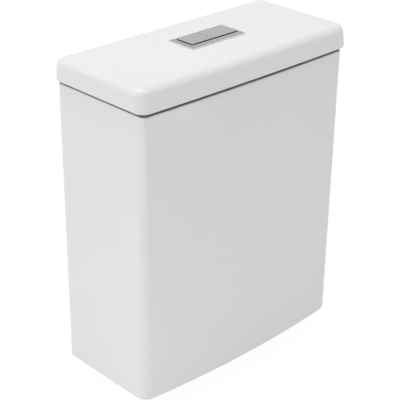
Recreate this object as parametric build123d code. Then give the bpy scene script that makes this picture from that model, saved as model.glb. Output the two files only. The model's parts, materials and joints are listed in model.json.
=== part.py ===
from build123d import *
import math
import os

# A close-coupled toilet cistern: a glazed ceramic tank and its lift-off lid, with a
# rectangular two-button flush unit in the lid, and the flush valve, fill valve and
# coupling fittings that it holds inside. All lengths are in millimetres.
# The origin is on the flush outlet's axis, at the plane of the tank's foot.
# +Z is up, +Y points to the wall behind and +X to the right seen from the front.

# Ceramic tank
tank_width_top = 351.0
tank_width_base = 357.2
tank_depth_top = 166.9
tank_depth_base = 167.0
tank_height = 404.3
tank_back = 84.4
bow_top = 2.8
bow_base = 9.6
front_radius_top = 7.5
front_radius_base = 15.0
back_corner_radius = 6.5
wall = 10.0
inner_corner_radius = 7.0
inner_floor_radius = 4.0
floor_thickness = 12.0
foot_height = 10.0
foot_width = 12.0
base_edge_radius = 4.4
rim_edge_radius = 2.5
outlet_hole_radius = 31.5
bolt_hole_radius = 5.5
inlet_hole_radius = 13.0

# Ceramic lid
lid_gap = 3.4
lid_thickness = 30.7
lid_top_thickness = 10.0
lid_side_overhang = 6.6
lid_front_overhang = 5.5
lid_back_inset = 0.2
lid_front_lean = 5.0
lid_back_lean = 3.3
lid_front_radius = 15.0
lid_back_radius = 11.5
lid_top_edge_radius = 8.5
lid_low_edge_radius = 4.4
lid_inner_edge_radius = 4.0
lip_clearance = 3.0
lip_width = 6.0
lip_depth = 7.5
pad_radius = 3.0
pad_inset = 6.5
pad_side_shares = (-0.27, 0.31)
pad_back_shares = (-0.26, 0.26)

# Two-button flush unit in the lid
unit_x = 9.3
unit_y = 6.6
bezel_width = 94.0
bezel_depth = 47.8
bezel_edge_height = 0.6
bezel_rise = 2.4
bezel_corner_radius = 1.6
bezel_rim_width = 0.9
bezel_step_count = 3
bezel_step_depth = 0.25
opening_width = 81.2
opening_depth = 30.0
opening_radius = 1.0
half_button_width = 35.3
button_rise = 4.1
button_skirt = 11.0
button_wall = 1.6
button_top_thickness = 2.4
button_edge_radius = 0.5
button_gap = 0.4
split_gap = 0.5
pocket_wall = 1.8
pocket_depth = 17.0
pocket_floor = 2.0
pocket_radius = 2.0
lid_hole_clearance = 1.2
stem_offset = 7.5
stem_radius = 3.5
stem_clearance = 0.1
stem_end_drop = 14.0
stem_socket = 12.0
clip_radius = 6.0
clip_thickness = 1.6
clip_gap = 0.3
barrel_radius = 16.2
barrel_bore = 14.2
barrel_length = 15.0
cup_clearance = 1.6
cup_wall = 5.0
cup_floor = 2.6
cup_gap = 0.4
clamp_nut_radius = 25.0
clamp_nut_height = 8.0
clamp_nut_rib_count = 12
clamp_nut_rib_radius = 2.0
thread_gap = 0.05
rod_radius = 2.0
rod_foot_radius = 3.0
rod_foot_height = 4.0
rod_gap = 0.4

# Return springs of the two buttons
spring_radius = 5.0
spring_wire_radius = 0.45
spring_turns = 6
spring_end_gap = 0.05

# Flush valve
outlet_bore_radius = 25.0
shank_radius = 29.8
shank_drop = 26.0
seat_bore_radius = 24.0
seat_radius = 30.0
seat_height = 12.0
valve_flange_radius = 45.0
valve_flange_thickness = 4.0
base_seal_thickness = 3.0
base_seal_width = 12.0
shank_washer_radius = 42.0
shank_washer_thickness = 2.5
backnut_flats = 72.0
backnut_thickness = 10.0
gasket_radius = 46.5
gasket_height = 36.0
gasket_nut_gap = 0.6
coupling_drop = 30.0
cage_radius = 43.0
cage_wall = 3.0
cage_height = 69.0
cage_window_width = 42.0
cage_window_height = 50.0
cage_sill = 8.0
cage_top_thickness = 4.0
tube_radius = 16.0
tube_wall = 2.0
tube_top_drop = 89.1
guide_gap = 0.3
seal_radius = 33.0
seal_thickness = 3.0
seal_hole_radius = 13.0
retainer_radius = 29.0
retainer_bore = 11.0
retainer_plate = 4.0
retainer_lug_radius = 20.0
retainer_lug_height = 3.0
socket_wall = 2.5
socket_height = 12.0
full_float_radius = 31.0
full_float_ring_gap = 17.0
full_float_height = 58.0
float_wall = 1.6
column_x = 38.0
column_thickness = 4.0
column_depth = 14.0
head_tube_gap = 12.0
head_thickness = 5.0
head_half_width = 42.0
head_front = 19.0
head_rear = 26.0
head_hole_radius = 13.0
mid_ring_rise = 52.0
mid_ring_thickness = 5.0
collar_drop = 18.0
collar_height = 14.0
collar_wall = 4.0

# Rocking levers on the valve's head
lever_arm = 15.0
lever_width = 7.0
lever_thickness = 5.0
lever_front_end = 3.0
lever_rear_end = 5.0
pivot_rise = 12.0
pivot_boss_radius = 4.5
pivot_pin_radius = 2.0
pin_clearance = 0.05
pin_overhang = 1.0
lug_side_gap = 0.4
lug_thickness = 4.0
lug_half_depth = 5.0
lug_rise = 5.0
hook_gap = 0.5
hook_thickness = 4.0
hook_reach = 6.5
strip_thickness = 3.0
strip_side_gap = 0.8
half_rod_x = -24.0
half_rod_y = -38.0
half_rod_radius = 2.5
half_rod_tail = 4.0
ear_half_width = 5.0
half_float_ring_gap = 25.0
half_float_height = 46.0
half_float_half_width = 14.0
half_float_front = 24.0
half_float_rear = 4.0

# Fill valve, entering through the tank's floor
fill_side_distance = 53.6
fill_back_distance = 64.4
fill_thread_radius = 10.475
fill_relief_radius = 10.3
fill_tail_drop = 28.0
fill_thread_length = 24.0
fill_bore_radius = 7.0
fill_flange_radius = 19.0
fill_flange_thickness = 5.0
fill_seal_thickness = 2.5
fill_washer_thickness = 2.0
fill_nut_flats = 30.0
fill_nut_thickness = 8.0
riser_radius = 11.0
riser_top_drop = 122.1
fill_head_radius = 22.0
fill_head_height = 26.0
fill_chamber_radius = 14.0
fill_chamber_depth = 10.0
diaphragm_radius = 17.6
diaphragm_thickness = 2.5
diaphragm_seat_depth = 4.0
diaphragm_side_gap = 0.3
fill_cap_radius = 23.0
fill_cap_height = 14.0
bleed_hole_radius = 1.5
stop_radius = 15.0
stop_height = 9.7
float_stop_gap = 0.3
fill_float_radius = 28.0
fill_float_drop = 105.0
fill_float_height = 66.0
fill_float_gap = 0.5
fill_float_boss_wall = 1.8
rod_arm = 40.0
pilot_arm = 10.0
arm_pivot_rise = 8.0
arm_half_width = 5.0
arm_thickness = 5.0
arm_rod_end = 6.0
arm_pilot_end = 5.0
arm_slot_half = 4.6
pilot_radius = 2.5
pilot_gap = 3.8
float_rod_radius = 2.0
float_rod_slot_gap = 0.6
float_rod_rise = 12.0
float_ear_height = 10.0
rod_clip_radius = 4.2
rod_clip_height = 3.5
rod_clip_gap = 2.8
pipe_offset = 36.0
pipe_radius = 6.0
pipe_bore = 4.8
pipe_bottom = 60.0
pipe_socket = 10.0
spout_wall = 2.0
spout_height = 13.0
strainer_length = 22.0
strainer_wall = 1.2
strainer_flange_radius = 9.4
strainer_flange_thickness = 1.2

# Bolts that couple the cistern to the pan
coupling_spacing = 150.0
bolt_radius = 4.0
bolt_clearance = 0.1
bolt_neck_radius = 3.8
bolt_neck_gap = 0.5
bolt_head_flats = 13.0
bolt_head_height = 5.3
bolt_seal_radius = 11.0
bolt_seal_thickness = 3.0
steel_washer_radius = 10.0
steel_washer_thickness = 1.6
hex_nut_height = 6.5
pan_washer_radius = 12.0
pan_washer_thickness = 3.0
wing_hub_radius = 7.5
wing_nut_height = 9.0
wing_span = 17.0
wing_thickness = 3.0
wing_height = 12.0
wing_edge_radius = 1.2

# One overrun carries every cut past the face that it leaves by
overrun = 5.0

# Levels and places worked out from the sizes above
floor_top = foot_height + floor_thickness
tank_front_top = tank_back - tank_depth_top
tank_front_base = tank_back - tank_depth_base
lid_bottom = tank_height + lid_gap
lid_top = lid_bottom + lid_thickness
lid_ceiling = lid_top - lid_top_thickness
opening_left = unit_x - opening_width / 2
split_x = opening_left + half_button_width
pocket_bottom = lid_top - pocket_depth
barrel_top = pocket_bottom - pocket_floor
barrel_bottom = barrel_top - barrel_length
stem_bottom = barrel_bottom - stem_end_drop + barrel_length - clip_thickness
half_stem_x = split_x - stem_offset
full_stem_x = split_x + stem_offset
flange_bottom = floor_top + base_seal_thickness
flange_top = flange_bottom + valve_flange_thickness
seat_top = flange_top + seat_height
cage_top = flange_top + cage_height
retainer_bottom = seat_top + seal_thickness
retainer_top = retainer_bottom + retainer_plate
tube_top = tank_height - tube_top_drop
collar_bottom = tube_top - collar_drop
head_bottom = tube_top + head_tube_gap
mid_ring_bottom = cage_top + mid_ring_rise
mid_ring_top = mid_ring_bottom + mid_ring_thickness
full_float_bottom = mid_ring_top + full_float_ring_gap
half_float_bottom = mid_ring_top + half_float_ring_gap
head_top = head_bottom + head_thickness
pivot_y = unit_y - lever_arm
pivot_z = head_top + pivot_rise
lever_bottom = pivot_z - lever_thickness / 2
lever_top = pivot_z + lever_thickness / 2
hook_bottom = lever_top + hook_gap
hook_top = hook_bottom + hook_thickness
hook_front = pivot_y - lever_arm - lever_front_end - lug_side_gap
strip_left = half_stem_x + lever_width / 2 + strip_side_gap
strip_right = full_stem_x - lever_width / 2 - strip_side_gap
fill_x = tank_width_base / 2 - fill_side_distance
fill_y = tank_back - fill_back_distance
riser_top = tank_height - riser_top_drop
fill_float_bottom = riser_top - fill_float_drop
fill_flange_bottom = floor_top + fill_seal_thickness
fill_flange_top = fill_flange_bottom + fill_flange_thickness
fill_head_top = riser_top + fill_head_height
fill_cap_top = fill_head_top + fill_cap_height
arm_pivot_x = fill_x - pilot_arm
arm_pivot_z = fill_cap_top + arm_pivot_rise
float_rod_x = fill_x - rod_arm


def disc(radius, bottom, top, x=0, y=0):
    return Pos(x, y, (bottom + top) / 2) * Cylinder(radius, top - bottom)


def ring(outer, inner, bottom, top, x=0, y=0):
    return disc(outer, bottom, top, x, y) - disc(inner, bottom - overrun, top + overrun, x, y)


def block(left, right, front, rear, bottom, top):
    middle = Pos((left + right) / 2, (front + rear) / 2, (bottom + top) / 2)
    return middle * Box(right - left, rear - front, top - bottom)


def hexagon(flats, bottom, top, x=0, y=0):
    return Pos(x, y, bottom) * extrude(RegularPolygon(flats / 2, 6, major_radius=False), top - bottom)


def rounded_block(width, depth, radius, bottom, top, x, y):
    return Pos(x, y, bottom) * extrude(RectangleRounded(width, depth, radius), top - bottom)


def cross_pin(radius, start, end, x, y, z, along):
    # A round pin along X or Y between two ends given on that axis
    length = end - start
    if along == "X":
        return Pos((start + end) / 2, y, z) * Rot(0, 90, 0) * Cylinder(radius, length)
    return Pos(x, (start + end) / 2, z) * Rot(90, 0, 0) * Cylinder(radius, length)


def outline(width, front, back, bow, front_radius, back_radius, level):
    # Plan shape of the ceramic: a bowed front, straight sides and back, rounded corners
    half = width / 2
    front_edge = ThreePointArc((-half, front + bow), (0, front), (half, front + bow))
    rest = Polyline((half, front + bow), (half, back), (-half, back), (-half, front + bow))
    face = make_face([front_edge, *rest.edges()])
    face = fillet(face.vertices().group_by(Axis.Y)[0], front_radius)
    if back_radius:
        face = fillet(face.vertices().group_by(Axis.Y)[-1], back_radius)
    return Pos(0, 0, level) * face


def tank_section(level, inset, front_radius, back_radius, past=0):
    # The tank's plan at a height, drawn in by an inset from its outer face
    rise = level / tank_height
    width = tank_width_base + (tank_width_top - tank_width_base) * rise
    front = tank_front_base + (tank_front_top - tank_front_base) * rise
    bow = bow_base + (bow_top - bow_base) * rise
    back = tank_back - inset + past
    return outline(width - 2 * inset, front + inset, back, bow, front_radius, back_radius, level)


def tank_loft(bottom, top, inset, front_radius, back_radius):
    low = tank_section(bottom, inset, front_radius, back_radius)
    high = tank_section(top, inset, front_radius, back_radius)
    return loft([low, high], ruled=True)


def bolt_places():
    return [(-coupling_spacing / 2, 0), (coupling_spacing / 2, 0)]


def tank_block():
    # The tank's outer shape: lofted past the back with square corners, cut to a flat back,
    # and then rounded up its two back corners
    low = tank_section(0, 0, front_radius_base, 0, overrun)
    high = tank_section(tank_height, 0, front_radius_top, 0, overrun)
    body = loft([low, high], ruled=True)
    reach = tank_width_base
    body -= block(-reach, reach, tank_back, tank_back + 2 * overrun, -overrun, tank_height + overrun)
    back_edges = body.edges().group_by(Axis.Y)[-1]
    upright = [edge for edge in back_edges if edge.length > tank_height - overrun]
    upright = [edge for edge in upright if abs(edge.center().Z - tank_height / 2) < overrun]
    return fillet(upright, back_corner_radius)


def make_tank():
    body = tank_block()
    body = fillet(body.edges().group_by(Axis.Z)[0], base_edge_radius)
    body = fillet(body.edges().group_by(Axis.Z)[-1], rim_edge_radius)
    inside = tank_loft(floor_top, tank_height + overrun, wall, inner_corner_radius, inner_corner_radius)
    inside = fillet(inside.edges().group_by(Axis.Z)[0], inner_floor_radius)
    recess = tank_loft(-overrun, foot_height, foot_width, inner_corner_radius, inner_corner_radius)
    body = body - inside - recess
    body -= disc(outlet_hole_radius, 0, floor_top + overrun)
    body -= disc(inlet_hole_radius, 0, floor_top + overrun, fill_x, fill_y)
    for x, y in bolt_places():
        body -= disc(bolt_hole_radius, 0, floor_top + overrun, x, y)
    return body


def lid_outline(level):
    # The lid's plan at a height: its front and back lean in towards the top
    rise = (level - lid_bottom) / lid_thickness
    width = tank_width_top + 2 * lid_side_overhang
    front = tank_front_top - lid_front_overhang + lid_front_lean * rise
    back = tank_back - lid_back_inset - lid_back_lean * rise
    return outline(width, front, back, bow_top, lid_front_radius, lid_back_radius, level)


def make_lid():
    lid = loft([lid_outline(lid_bottom), lid_outline(lid_top)], ruled=True)
    lid = fillet(lid.edges().group_by(Axis.Z)[-1], lid_top_edge_radius)
    lid = fillet(lid.edges().group_by(Axis.Z)[0], lid_low_edge_radius)
    lip_inset = wall + lip_clearance
    lip = extrude(tank_section(lid_bottom, lip_inset, inner_corner_radius, inner_corner_radius), -lip_depth)
    lid = lid + lip
    inset = lip_inset + lip_width
    hollow_section = tank_section(lid_bottom, inset, inner_corner_radius, inner_corner_radius)
    below = lip_depth + overrun
    hollow = extrude(Pos(0, 0, -below) * hollow_section, below + lid_ceiling - lid_bottom)
    hollow = fillet(hollow.edges().group_by(Axis.Z)[-1], lid_inner_edge_radius)
    lid = lid - hollow
    hole_width = opening_width + 2 * (pocket_wall + lid_hole_clearance)
    hole_depth = opening_depth + 2 * (pocket_wall + lid_hole_clearance)
    hole_radius = pocket_radius + lid_hole_clearance
    hole = rounded_block(
        hole_width, hole_depth, hole_radius, lid_bottom, lid_top + overrun, unit_x, unit_y
    )
    return lid - hole


def make_lid_pads():
    side = tank_width_top / 2 - pad_inset
    back = tank_back - pad_inset
    front = tank_front_top + bow_top / 2 + pad_inset
    places = [(sign * side, tank_depth_top * share) for sign in (-1, 1) for share in pad_side_shares]
    places += [(tank_width_top * share, back) for share in pad_back_shares]
    places += [(tank_width_top * share, front) for share in pad_back_shares]
    return [disc(pad_radius, tank_height, lid_bottom, x, y) for x, y in places]


def make_bezel():
    # A flat frame whose border slopes from the foot up to the rim in fine steps
    run_x = (bezel_width - opening_width) / 2 - bezel_rim_width
    run_y = (bezel_depth - opening_depth) / 2 - bezel_rim_width
    frame = rounded_block(
        bezel_width, bezel_depth, bezel_corner_radius, lid_top, lid_top + bezel_edge_height, unit_x, unit_y
    )
    rise = (bezel_rise - bezel_edge_height) / bezel_step_count
    for step in range(bezel_step_count):
        low_share = step / bezel_step_count
        high_share = (step + 1) / bezel_step_count
        low = lid_top + bezel_edge_height + step * rise
        inset_low = bezel_step_depth if step else 0
        low_face = RectangleRounded(
            bezel_width - 2 * (run_x * low_share + inset_low),
            bezel_depth - 2 * (run_y * low_share + inset_low),
            bezel_corner_radius,
        )
        high_face = RectangleRounded(
            bezel_width - 2 * run_x * high_share, bezel_depth - 2 * run_y * high_share, bezel_corner_radius
        )
        frame += Pos(unit_x, unit_y, low) * loft([low_face, Pos(0, 0, rise) * high_face], ruled=True)
    low = lid_top - overrun
    high = lid_top + bezel_rise + overrun
    mouth = rounded_block(opening_width, opening_depth, opening_radius, low, high, unit_x, unit_y)
    return frame - mouth


def make_housing():
    outer_width = opening_width + 2 * pocket_wall
    outer_depth = opening_depth + 2 * pocket_wall
    box = rounded_block(outer_width, outer_depth, pocket_radius, barrel_top, lid_top, unit_x, unit_y)
    box -= rounded_block(
        opening_width, opening_depth, opening_radius, pocket_bottom, lid_top + overrun, unit_x, unit_y
    )
    box += ring(barrel_radius, barrel_bore, barrel_bottom, barrel_top, split_x, unit_y)
    for x in (half_stem_x, full_stem_x):
        box -= disc(stem_radius + stem_clearance, barrel_top - overrun, pocket_bottom + overrun, x, unit_y)
    return box


def make_clamp_cup():
    inner_width = opening_width + 2 * (pocket_wall + cup_clearance)
    inner_depth = opening_depth + 2 * (pocket_wall + cup_clearance)
    floor_level = barrel_top - cup_gap
    cup = rounded_block(
        inner_width + 2 * cup_wall,
        inner_depth + 2 * cup_wall,
        pocket_radius + cup_wall,
        floor_level - cup_floor,
        lid_ceiling,
        unit_x,
        unit_y,
    )
    cup -= rounded_block(
        inner_width, inner_depth, pocket_radius, floor_level, lid_ceiling + overrun, unit_x, unit_y
    )
    low = floor_level - cup_floor - overrun
    return cup - disc(barrel_radius + cup_gap, low, floor_level + overrun, split_x, unit_y)


def make_clamp_nut():
    top = barrel_top - cup_gap - cup_floor
    bottom = top - clamp_nut_height
    nut = disc(clamp_nut_radius, bottom, top, split_x, unit_y)
    for rib in range(clamp_nut_rib_count):
        turn = 2 * math.pi * rib / clamp_nut_rib_count
        x = split_x + clamp_nut_radius * math.cos(turn)
        y = unit_y + clamp_nut_radius * math.sin(turn)
        nut += disc(clamp_nut_rib_radius, bottom, top, x, y)
    return nut - disc(barrel_radius + thread_gap, bottom - overrun, top + overrun, split_x, unit_y)


def make_button(left, right, stem_x):
    # A hollow cap that slides in the pocket, on a round stem with a socket for its rod
    top = lid_top + button_rise
    front = unit_y - opening_depth / 2 + button_gap
    rear = unit_y + opening_depth / 2 - button_gap
    cap = block(left, right, front, rear, top - button_skirt, top)
    cap = fillet(cap.edges().group_by(Axis.Z)[-1] + cap.edges().filter_by(Axis.Z), button_edge_radius)
    cap -= block(
        left + button_wall,
        right - button_wall,
        front + button_wall,
        rear - button_wall,
        top - button_skirt - overrun,
        top - button_top_thickness,
    )
    cap += disc(stem_radius, stem_bottom, top - button_top_thickness, stem_x, unit_y)
    socket_top = stem_bottom + stem_socket
    return cap - disc(rod_radius + thread_gap, stem_bottom - overrun, socket_top, stem_x, unit_y)


def make_push_rod(stem_x):
    foot = lever_top + rod_gap
    rod = disc(rod_radius, foot, stem_bottom + stem_socket, stem_x, unit_y)
    return rod + disc(rod_foot_radius, foot, foot + rod_foot_height, stem_x, unit_y)


def make_stem_clip(stem_x):
    top = barrel_top - clip_gap
    return ring(clip_radius, stem_radius, top - clip_thickness, top, stem_x, unit_y)


def helix_point(turn_angle, radius, rise):
    return Vector(radius * math.cos(turn_angle), radius * math.sin(turn_angle), rise * turn_angle)


def helix_slope(turn_angle, radius, rise):
    return Vector(-radius * math.sin(turn_angle), radius * math.cos(turn_angle), rise).normalized()


def biarc(start, start_slope, end, end_slope):
    # Two arcs that leave a point along one slope and reach another along its own slope
    chord = end - start
    slopes = start_slope + end_slope
    square = 2 * (1 - start_slope.dot(end_slope))
    along = chord.dot(slopes)
    reach = (math.sqrt(along * along + square * chord.dot(chord)) - along) / square
    first = start + start_slope * reach
    second = end - end_slope * reach
    joint = (first + second) / 2
    leaving = (second - first).normalized()
    return [TangentArc(start, joint, tangent=start_slope), TangentArc(joint, end, tangent=leaving)]


def make_spring(x, y, bottom, top):
    # One round wire wound up the stem, its turns laid as pairs of arcs a quarter turn long
    height = top - bottom - 2 * (spring_wire_radius + spring_end_gap)
    quarters = 4 * spring_turns
    rise = height / (2 * math.pi * spring_turns)
    arcs = []
    for quarter in range(quarters):
        one = math.pi / 2 * quarter
        two = math.pi / 2 * (quarter + 1)
        arcs += biarc(
            helix_point(one, spring_radius, rise),
            helix_slope(one, spring_radius, rise),
            helix_point(two, spring_radius, rise),
            helix_slope(two, spring_radius, rise),
        )
    path = Wire([arc.edge() for arc in arcs])
    start = helix_point(0, spring_radius, rise)
    section = Plane(origin=start, z_dir=helix_slope(0, spring_radius, rise)) * Circle(spring_wire_radius)
    pitch = height / spring_turns
    print("spring: pitch", round(pitch, 3), "gap between turns", round(pitch - 2 * spring_wire_radius, 3))
    return Pos(x, y, bottom + spring_wire_radius + spring_end_gap) * sweep(section, path=path)


def make_valve_base():
    # The threaded outlet shank with its flange, and the raised seat that the seal rests on
    body = disc(valve_flange_radius, flange_bottom, flange_top)
    body += disc(shank_radius, -shank_drop, flange_bottom)
    body += disc(seat_radius, flange_top, seat_top)
    body -= disc(outlet_bore_radius, -shank_drop - overrun, foot_height + floor_thickness / 2)
    return body - disc(seat_bore_radius, foot_height, seat_top + overrun)


def make_gasket():
    bottom = -coupling_drop
    top = bottom + gasket_height
    nut_bottom = foot_height - shank_washer_thickness - backnut_thickness
    body = ring(gasket_radius, shank_radius + gasket_nut_gap, bottom, top)
    pocket_radius_over_nut = backnut_flats / math.sqrt(3) + gasket_nut_gap
    return body - disc(pocket_radius_over_nut, nut_bottom - gasket_nut_gap, top + overrun)


def make_backnut():
    top = foot_height - shank_washer_thickness
    nut = hexagon(backnut_flats, top - backnut_thickness, top)
    return nut - disc(shank_radius + thread_gap, top - backnut_thickness - overrun, top + overrun)


def make_cage():
    # A basket round the seat: a ring wall with four windows under a plate that guides the tube
    body = ring(cage_radius, cage_radius - cage_wall, flange_top, cage_top)
    window_bottom = flange_top + cage_sill
    window_top = window_bottom + cage_window_height
    half = cage_window_width / 2
    reach = cage_radius + overrun
    body -= block(-half, half, -reach, reach, window_bottom, window_top)
    body -= block(-reach, reach, -half, half, window_bottom, window_top)
    plate_bottom = cage_top - cage_top_thickness
    return body + ring(cage_radius, tube_radius + guide_gap, plate_bottom, cage_top)


def ear(bottom, top, inner_y):
    # A lug that reaches forward from a plate to guide the half flush rod
    left = half_rod_x - ear_half_width
    right = half_rod_x + ear_half_width
    return block(left, right, half_rod_y - ear_half_width, inner_y, bottom, top)


def make_tower():
    ring_top = mid_ring_top
    body = disc(column_x, mid_ring_bottom, ring_top)
    body += ear(mid_ring_bottom, ring_top, -tube_radius - guide_gap)
    for sign in (-1, 1):
        inner = sign * (column_x - column_thickness / 2)
        outer = sign * (column_x + column_thickness / 2)
        body += block(
            min(inner, outer), max(inner, outer), -column_depth / 2, column_depth / 2, cage_top, head_bottom
        )
    body -= disc(tube_radius + guide_gap, mid_ring_bottom - overrun, ring_top + overrun)
    return body - disc(
        half_rod_radius + guide_gap, mid_ring_bottom - overrun, ring_top + overrun, half_rod_x, half_rod_y
    )


def lever_sides():
    # Left and right faces of the two levers and of the three lugs that hold their pin
    half = lever_width / 2
    outer_left = half_stem_x - half - lug_side_gap
    half_right = half_stem_x + half
    full_left = full_stem_x - half
    full_right = full_stem_x + half
    return [
        (outer_left - lug_thickness, outer_left),
        (half_right + lug_side_gap, full_left - lug_side_gap),
        (full_right + lug_side_gap, full_right + lug_side_gap + lug_thickness),
    ]


def make_head():
    body = block(-head_half_width, head_half_width, -head_front, head_rear, head_bottom, head_top)
    body += ear(head_bottom, head_top, -head_front + overrun)
    body -= disc(head_hole_radius, head_bottom - overrun, head_top + overrun)
    for left, right in lever_sides():
        body += block(
            left, right, pivot_y - lug_half_depth, pivot_y + lug_half_depth, head_bottom, pivot_z + lug_rise
        )
    start = lever_sides()[0][0] - overrun
    end = lever_sides()[-1][1] + overrun
    body -= cross_pin(pivot_pin_radius + pin_clearance, start, end, 0, pivot_y, pivot_z, "X")
    return body - disc(
        half_rod_radius + guide_gap, head_bottom - overrun, head_top + overrun, half_rod_x, half_rod_y
    )


def make_lever_pin():
    sides = lever_sides()
    return cross_pin(
        pivot_pin_radius, sides[0][0] - pin_overhang, sides[-1][1] + pin_overhang, 0, pivot_y, pivot_z, "X"
    )


def make_lever(stem_x):
    left = stem_x - lever_width / 2
    right = stem_x + lever_width / 2
    front = pivot_y - lever_arm - lever_front_end
    rear = unit_y + lever_rear_end
    bar = block(left, right, front, rear, lever_bottom, lever_top)
    bar += cross_pin(pivot_boss_radius, left, right, 0, pivot_y, pivot_z, "X")
    return bar - cross_pin(
        pivot_pin_radius + pin_clearance, left - overrun, right + overrun, 0, pivot_y, pivot_z, "X"
    )


def make_hanger():
    # A collar on the tube's top with a strip that hooks over the full flush lever
    top = collar_bottom + collar_height
    body = disc(tube_radius + collar_wall, collar_bottom, top)
    back_of_strip = hook_front + strip_thickness
    bracket_top = collar_bottom + hook_thickness
    body += block(strip_left, strip_right, hook_front, -tube_radius, collar_bottom, bracket_top)
    body += block(strip_left, strip_right, hook_front, back_of_strip, collar_bottom, hook_top)
    body += block(
        strip_left, full_stem_x + lever_width / 2, hook_front, hook_front + hook_reach, hook_bottom, hook_top
    )
    return body - disc(tube_radius + thread_gap, collar_bottom - overrun, top + overrun)


def make_tube():
    return ring(tube_radius, tube_radius - tube_wall, retainer_top, tube_top)


def make_retainer():
    body = disc(retainer_radius, retainer_bottom, retainer_top)
    body += disc(seal_hole_radius, seat_top, retainer_bottom)
    body += disc(retainer_lug_radius, seat_top - retainer_lug_height, seat_top)
    socket_top = retainer_top + socket_height
    body += ring(tube_radius + socket_wall, tube_radius + thread_gap, retainer_top, socket_top)
    return body - disc(retainer_bore, seat_top - retainer_lug_height - overrun, retainer_top + overrun)


def make_full_float():
    top = full_float_bottom + full_float_height
    body = ring(full_float_radius, tube_radius + thread_gap, full_float_bottom, top)
    inside = disc(full_float_radius - float_wall, full_float_bottom - overrun, top - float_wall)
    return body - (inside - disc(tube_radius + float_wall, full_float_bottom - 2 * overrun, top))


def make_half_rod():
    rod = disc(half_rod_radius, mid_ring_bottom - half_rod_tail, hook_top, half_rod_x, half_rod_y)
    arm_left = half_rod_x - half_rod_radius
    arm_right = half_stem_x + lever_width / 2 - strip_side_gap
    arm_front = half_rod_y - half_rod_radius
    arm_rear = half_rod_y + half_rod_radius
    rod += block(arm_left, arm_right, arm_front, arm_rear, hook_bottom, hook_top)
    return rod + block(
        half_stem_x - lever_width / 2, arm_right, arm_front, hook_front + hook_reach, hook_bottom, hook_top
    )


def make_half_float():
    top = half_float_bottom + half_float_height
    left = half_rod_x - half_float_half_width
    right = half_rod_x + half_float_half_width
    front = half_rod_y - half_float_front
    rear = half_rod_y + half_float_rear
    body = block(left, right, front, rear, half_float_bottom, top)
    body = fillet(body.edges().filter_by(Axis.Z), float_wall)
    inside = block(
        left + float_wall,
        right - float_wall,
        front + float_wall,
        rear - float_wall,
        half_float_bottom - overrun,
        top - float_wall,
    )
    inside -= disc(
        half_rod_radius + float_wall, half_float_bottom - 2 * overrun, top, half_rod_x, half_rod_y
    )
    body -= inside
    bore = half_rod_radius + thread_gap
    return body - disc(bore, half_float_bottom - overrun, top + overrun, half_rod_x, half_rod_y)


def make_fill_body():
    # Threaded tail, flange, riser and valve head of the fill valve, on one bore
    relief_bottom = -fill_tail_drop + fill_thread_length
    body = disc(fill_thread_radius, -fill_tail_drop, relief_bottom, fill_x, fill_y)
    body += disc(fill_relief_radius, relief_bottom, fill_flange_bottom, fill_x, fill_y)
    body += disc(fill_flange_radius, fill_flange_bottom, fill_flange_top, fill_x, fill_y)
    body += disc(riser_radius, fill_flange_top, riser_top, fill_x, fill_y)
    stop_top = fill_float_bottom - float_stop_gap
    body += disc(stop_radius, stop_top - stop_height, stop_top, fill_x, fill_y)
    body += disc(fill_head_radius, riser_top, fill_head_top, fill_x, fill_y)
    pipe_y = fill_y + pipe_offset
    spout_half = pipe_radius + spout_wall
    spout_top = riser_top + spout_height
    body += block(fill_x - spout_half, fill_x + spout_half, fill_y, pipe_y + spout_half, riser_top, spout_top)
    body -= disc(pipe_radius + thread_gap, riser_top - overrun, riser_top + pipe_socket, fill_x, pipe_y)
    seat = fill_head_top - diaphragm_seat_depth
    body -= disc(diaphragm_radius + diaphragm_side_gap, seat, fill_head_top + overrun, fill_x, fill_y)
    body -= disc(fill_chamber_radius, seat - fill_chamber_depth, seat + overrun, fill_x, fill_y)
    return body - disc(fill_bore_radius, -fill_tail_drop - overrun, seat, fill_x, fill_y)


def make_fill_cap():
    boss_bottom = fill_head_top - diaphragm_seat_depth + diaphragm_thickness
    body = disc(fill_cap_radius, fill_head_top, fill_cap_top, fill_x, fill_y)
    body += disc(diaphragm_radius, boss_bottom, fill_head_top, fill_x, fill_y)
    inner = arm_half_width + lug_side_gap
    for sign in (-1, 1):
        near = fill_y + sign * inner
        far = fill_y + sign * (inner + lug_thickness)
        body += block(
            arm_pivot_x - lug_half_depth,
            arm_pivot_x + lug_half_depth,
            min(near, far),
            max(near, far),
            fill_head_top,
            arm_pivot_z + lug_rise,
        )
    reach = inner + lug_thickness + overrun
    body -= cross_pin(
        pivot_pin_radius + pin_clearance, fill_y - reach, fill_y + reach, arm_pivot_x, 0, arm_pivot_z, "Y"
    )
    return body - disc(bleed_hole_radius, boss_bottom - overrun, fill_cap_top + overrun, fill_x, fill_y)


def make_arm_pin():
    reach = arm_half_width + lug_side_gap + lug_thickness + pin_overhang
    return cross_pin(pivot_pin_radius, fill_y - reach, fill_y + reach, arm_pivot_x, 0, arm_pivot_z, "Y")


def make_fill_arm():
    bottom = arm_pivot_z - arm_thickness / 2
    top = arm_pivot_z + arm_thickness / 2
    front = fill_y - arm_half_width
    rear = fill_y + arm_half_width
    bar = block(float_rod_x - arm_rod_end, fill_x + arm_pilot_end, front, rear, bottom, top)
    bar += disc(pilot_radius, fill_cap_top + pilot_gap, bottom, fill_x, fill_y)
    half_slot = float_rod_radius + float_rod_slot_gap
    bar -= block(
        float_rod_x - arm_slot_half,
        float_rod_x + arm_slot_half,
        fill_y - half_slot,
        fill_y + half_slot,
        bottom - overrun,
        top + overrun,
    )
    return bar - cross_pin(
        pivot_pin_radius + pin_clearance, front - overrun, rear + overrun, arm_pivot_x, 0, arm_pivot_z, "Y"
    )


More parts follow.
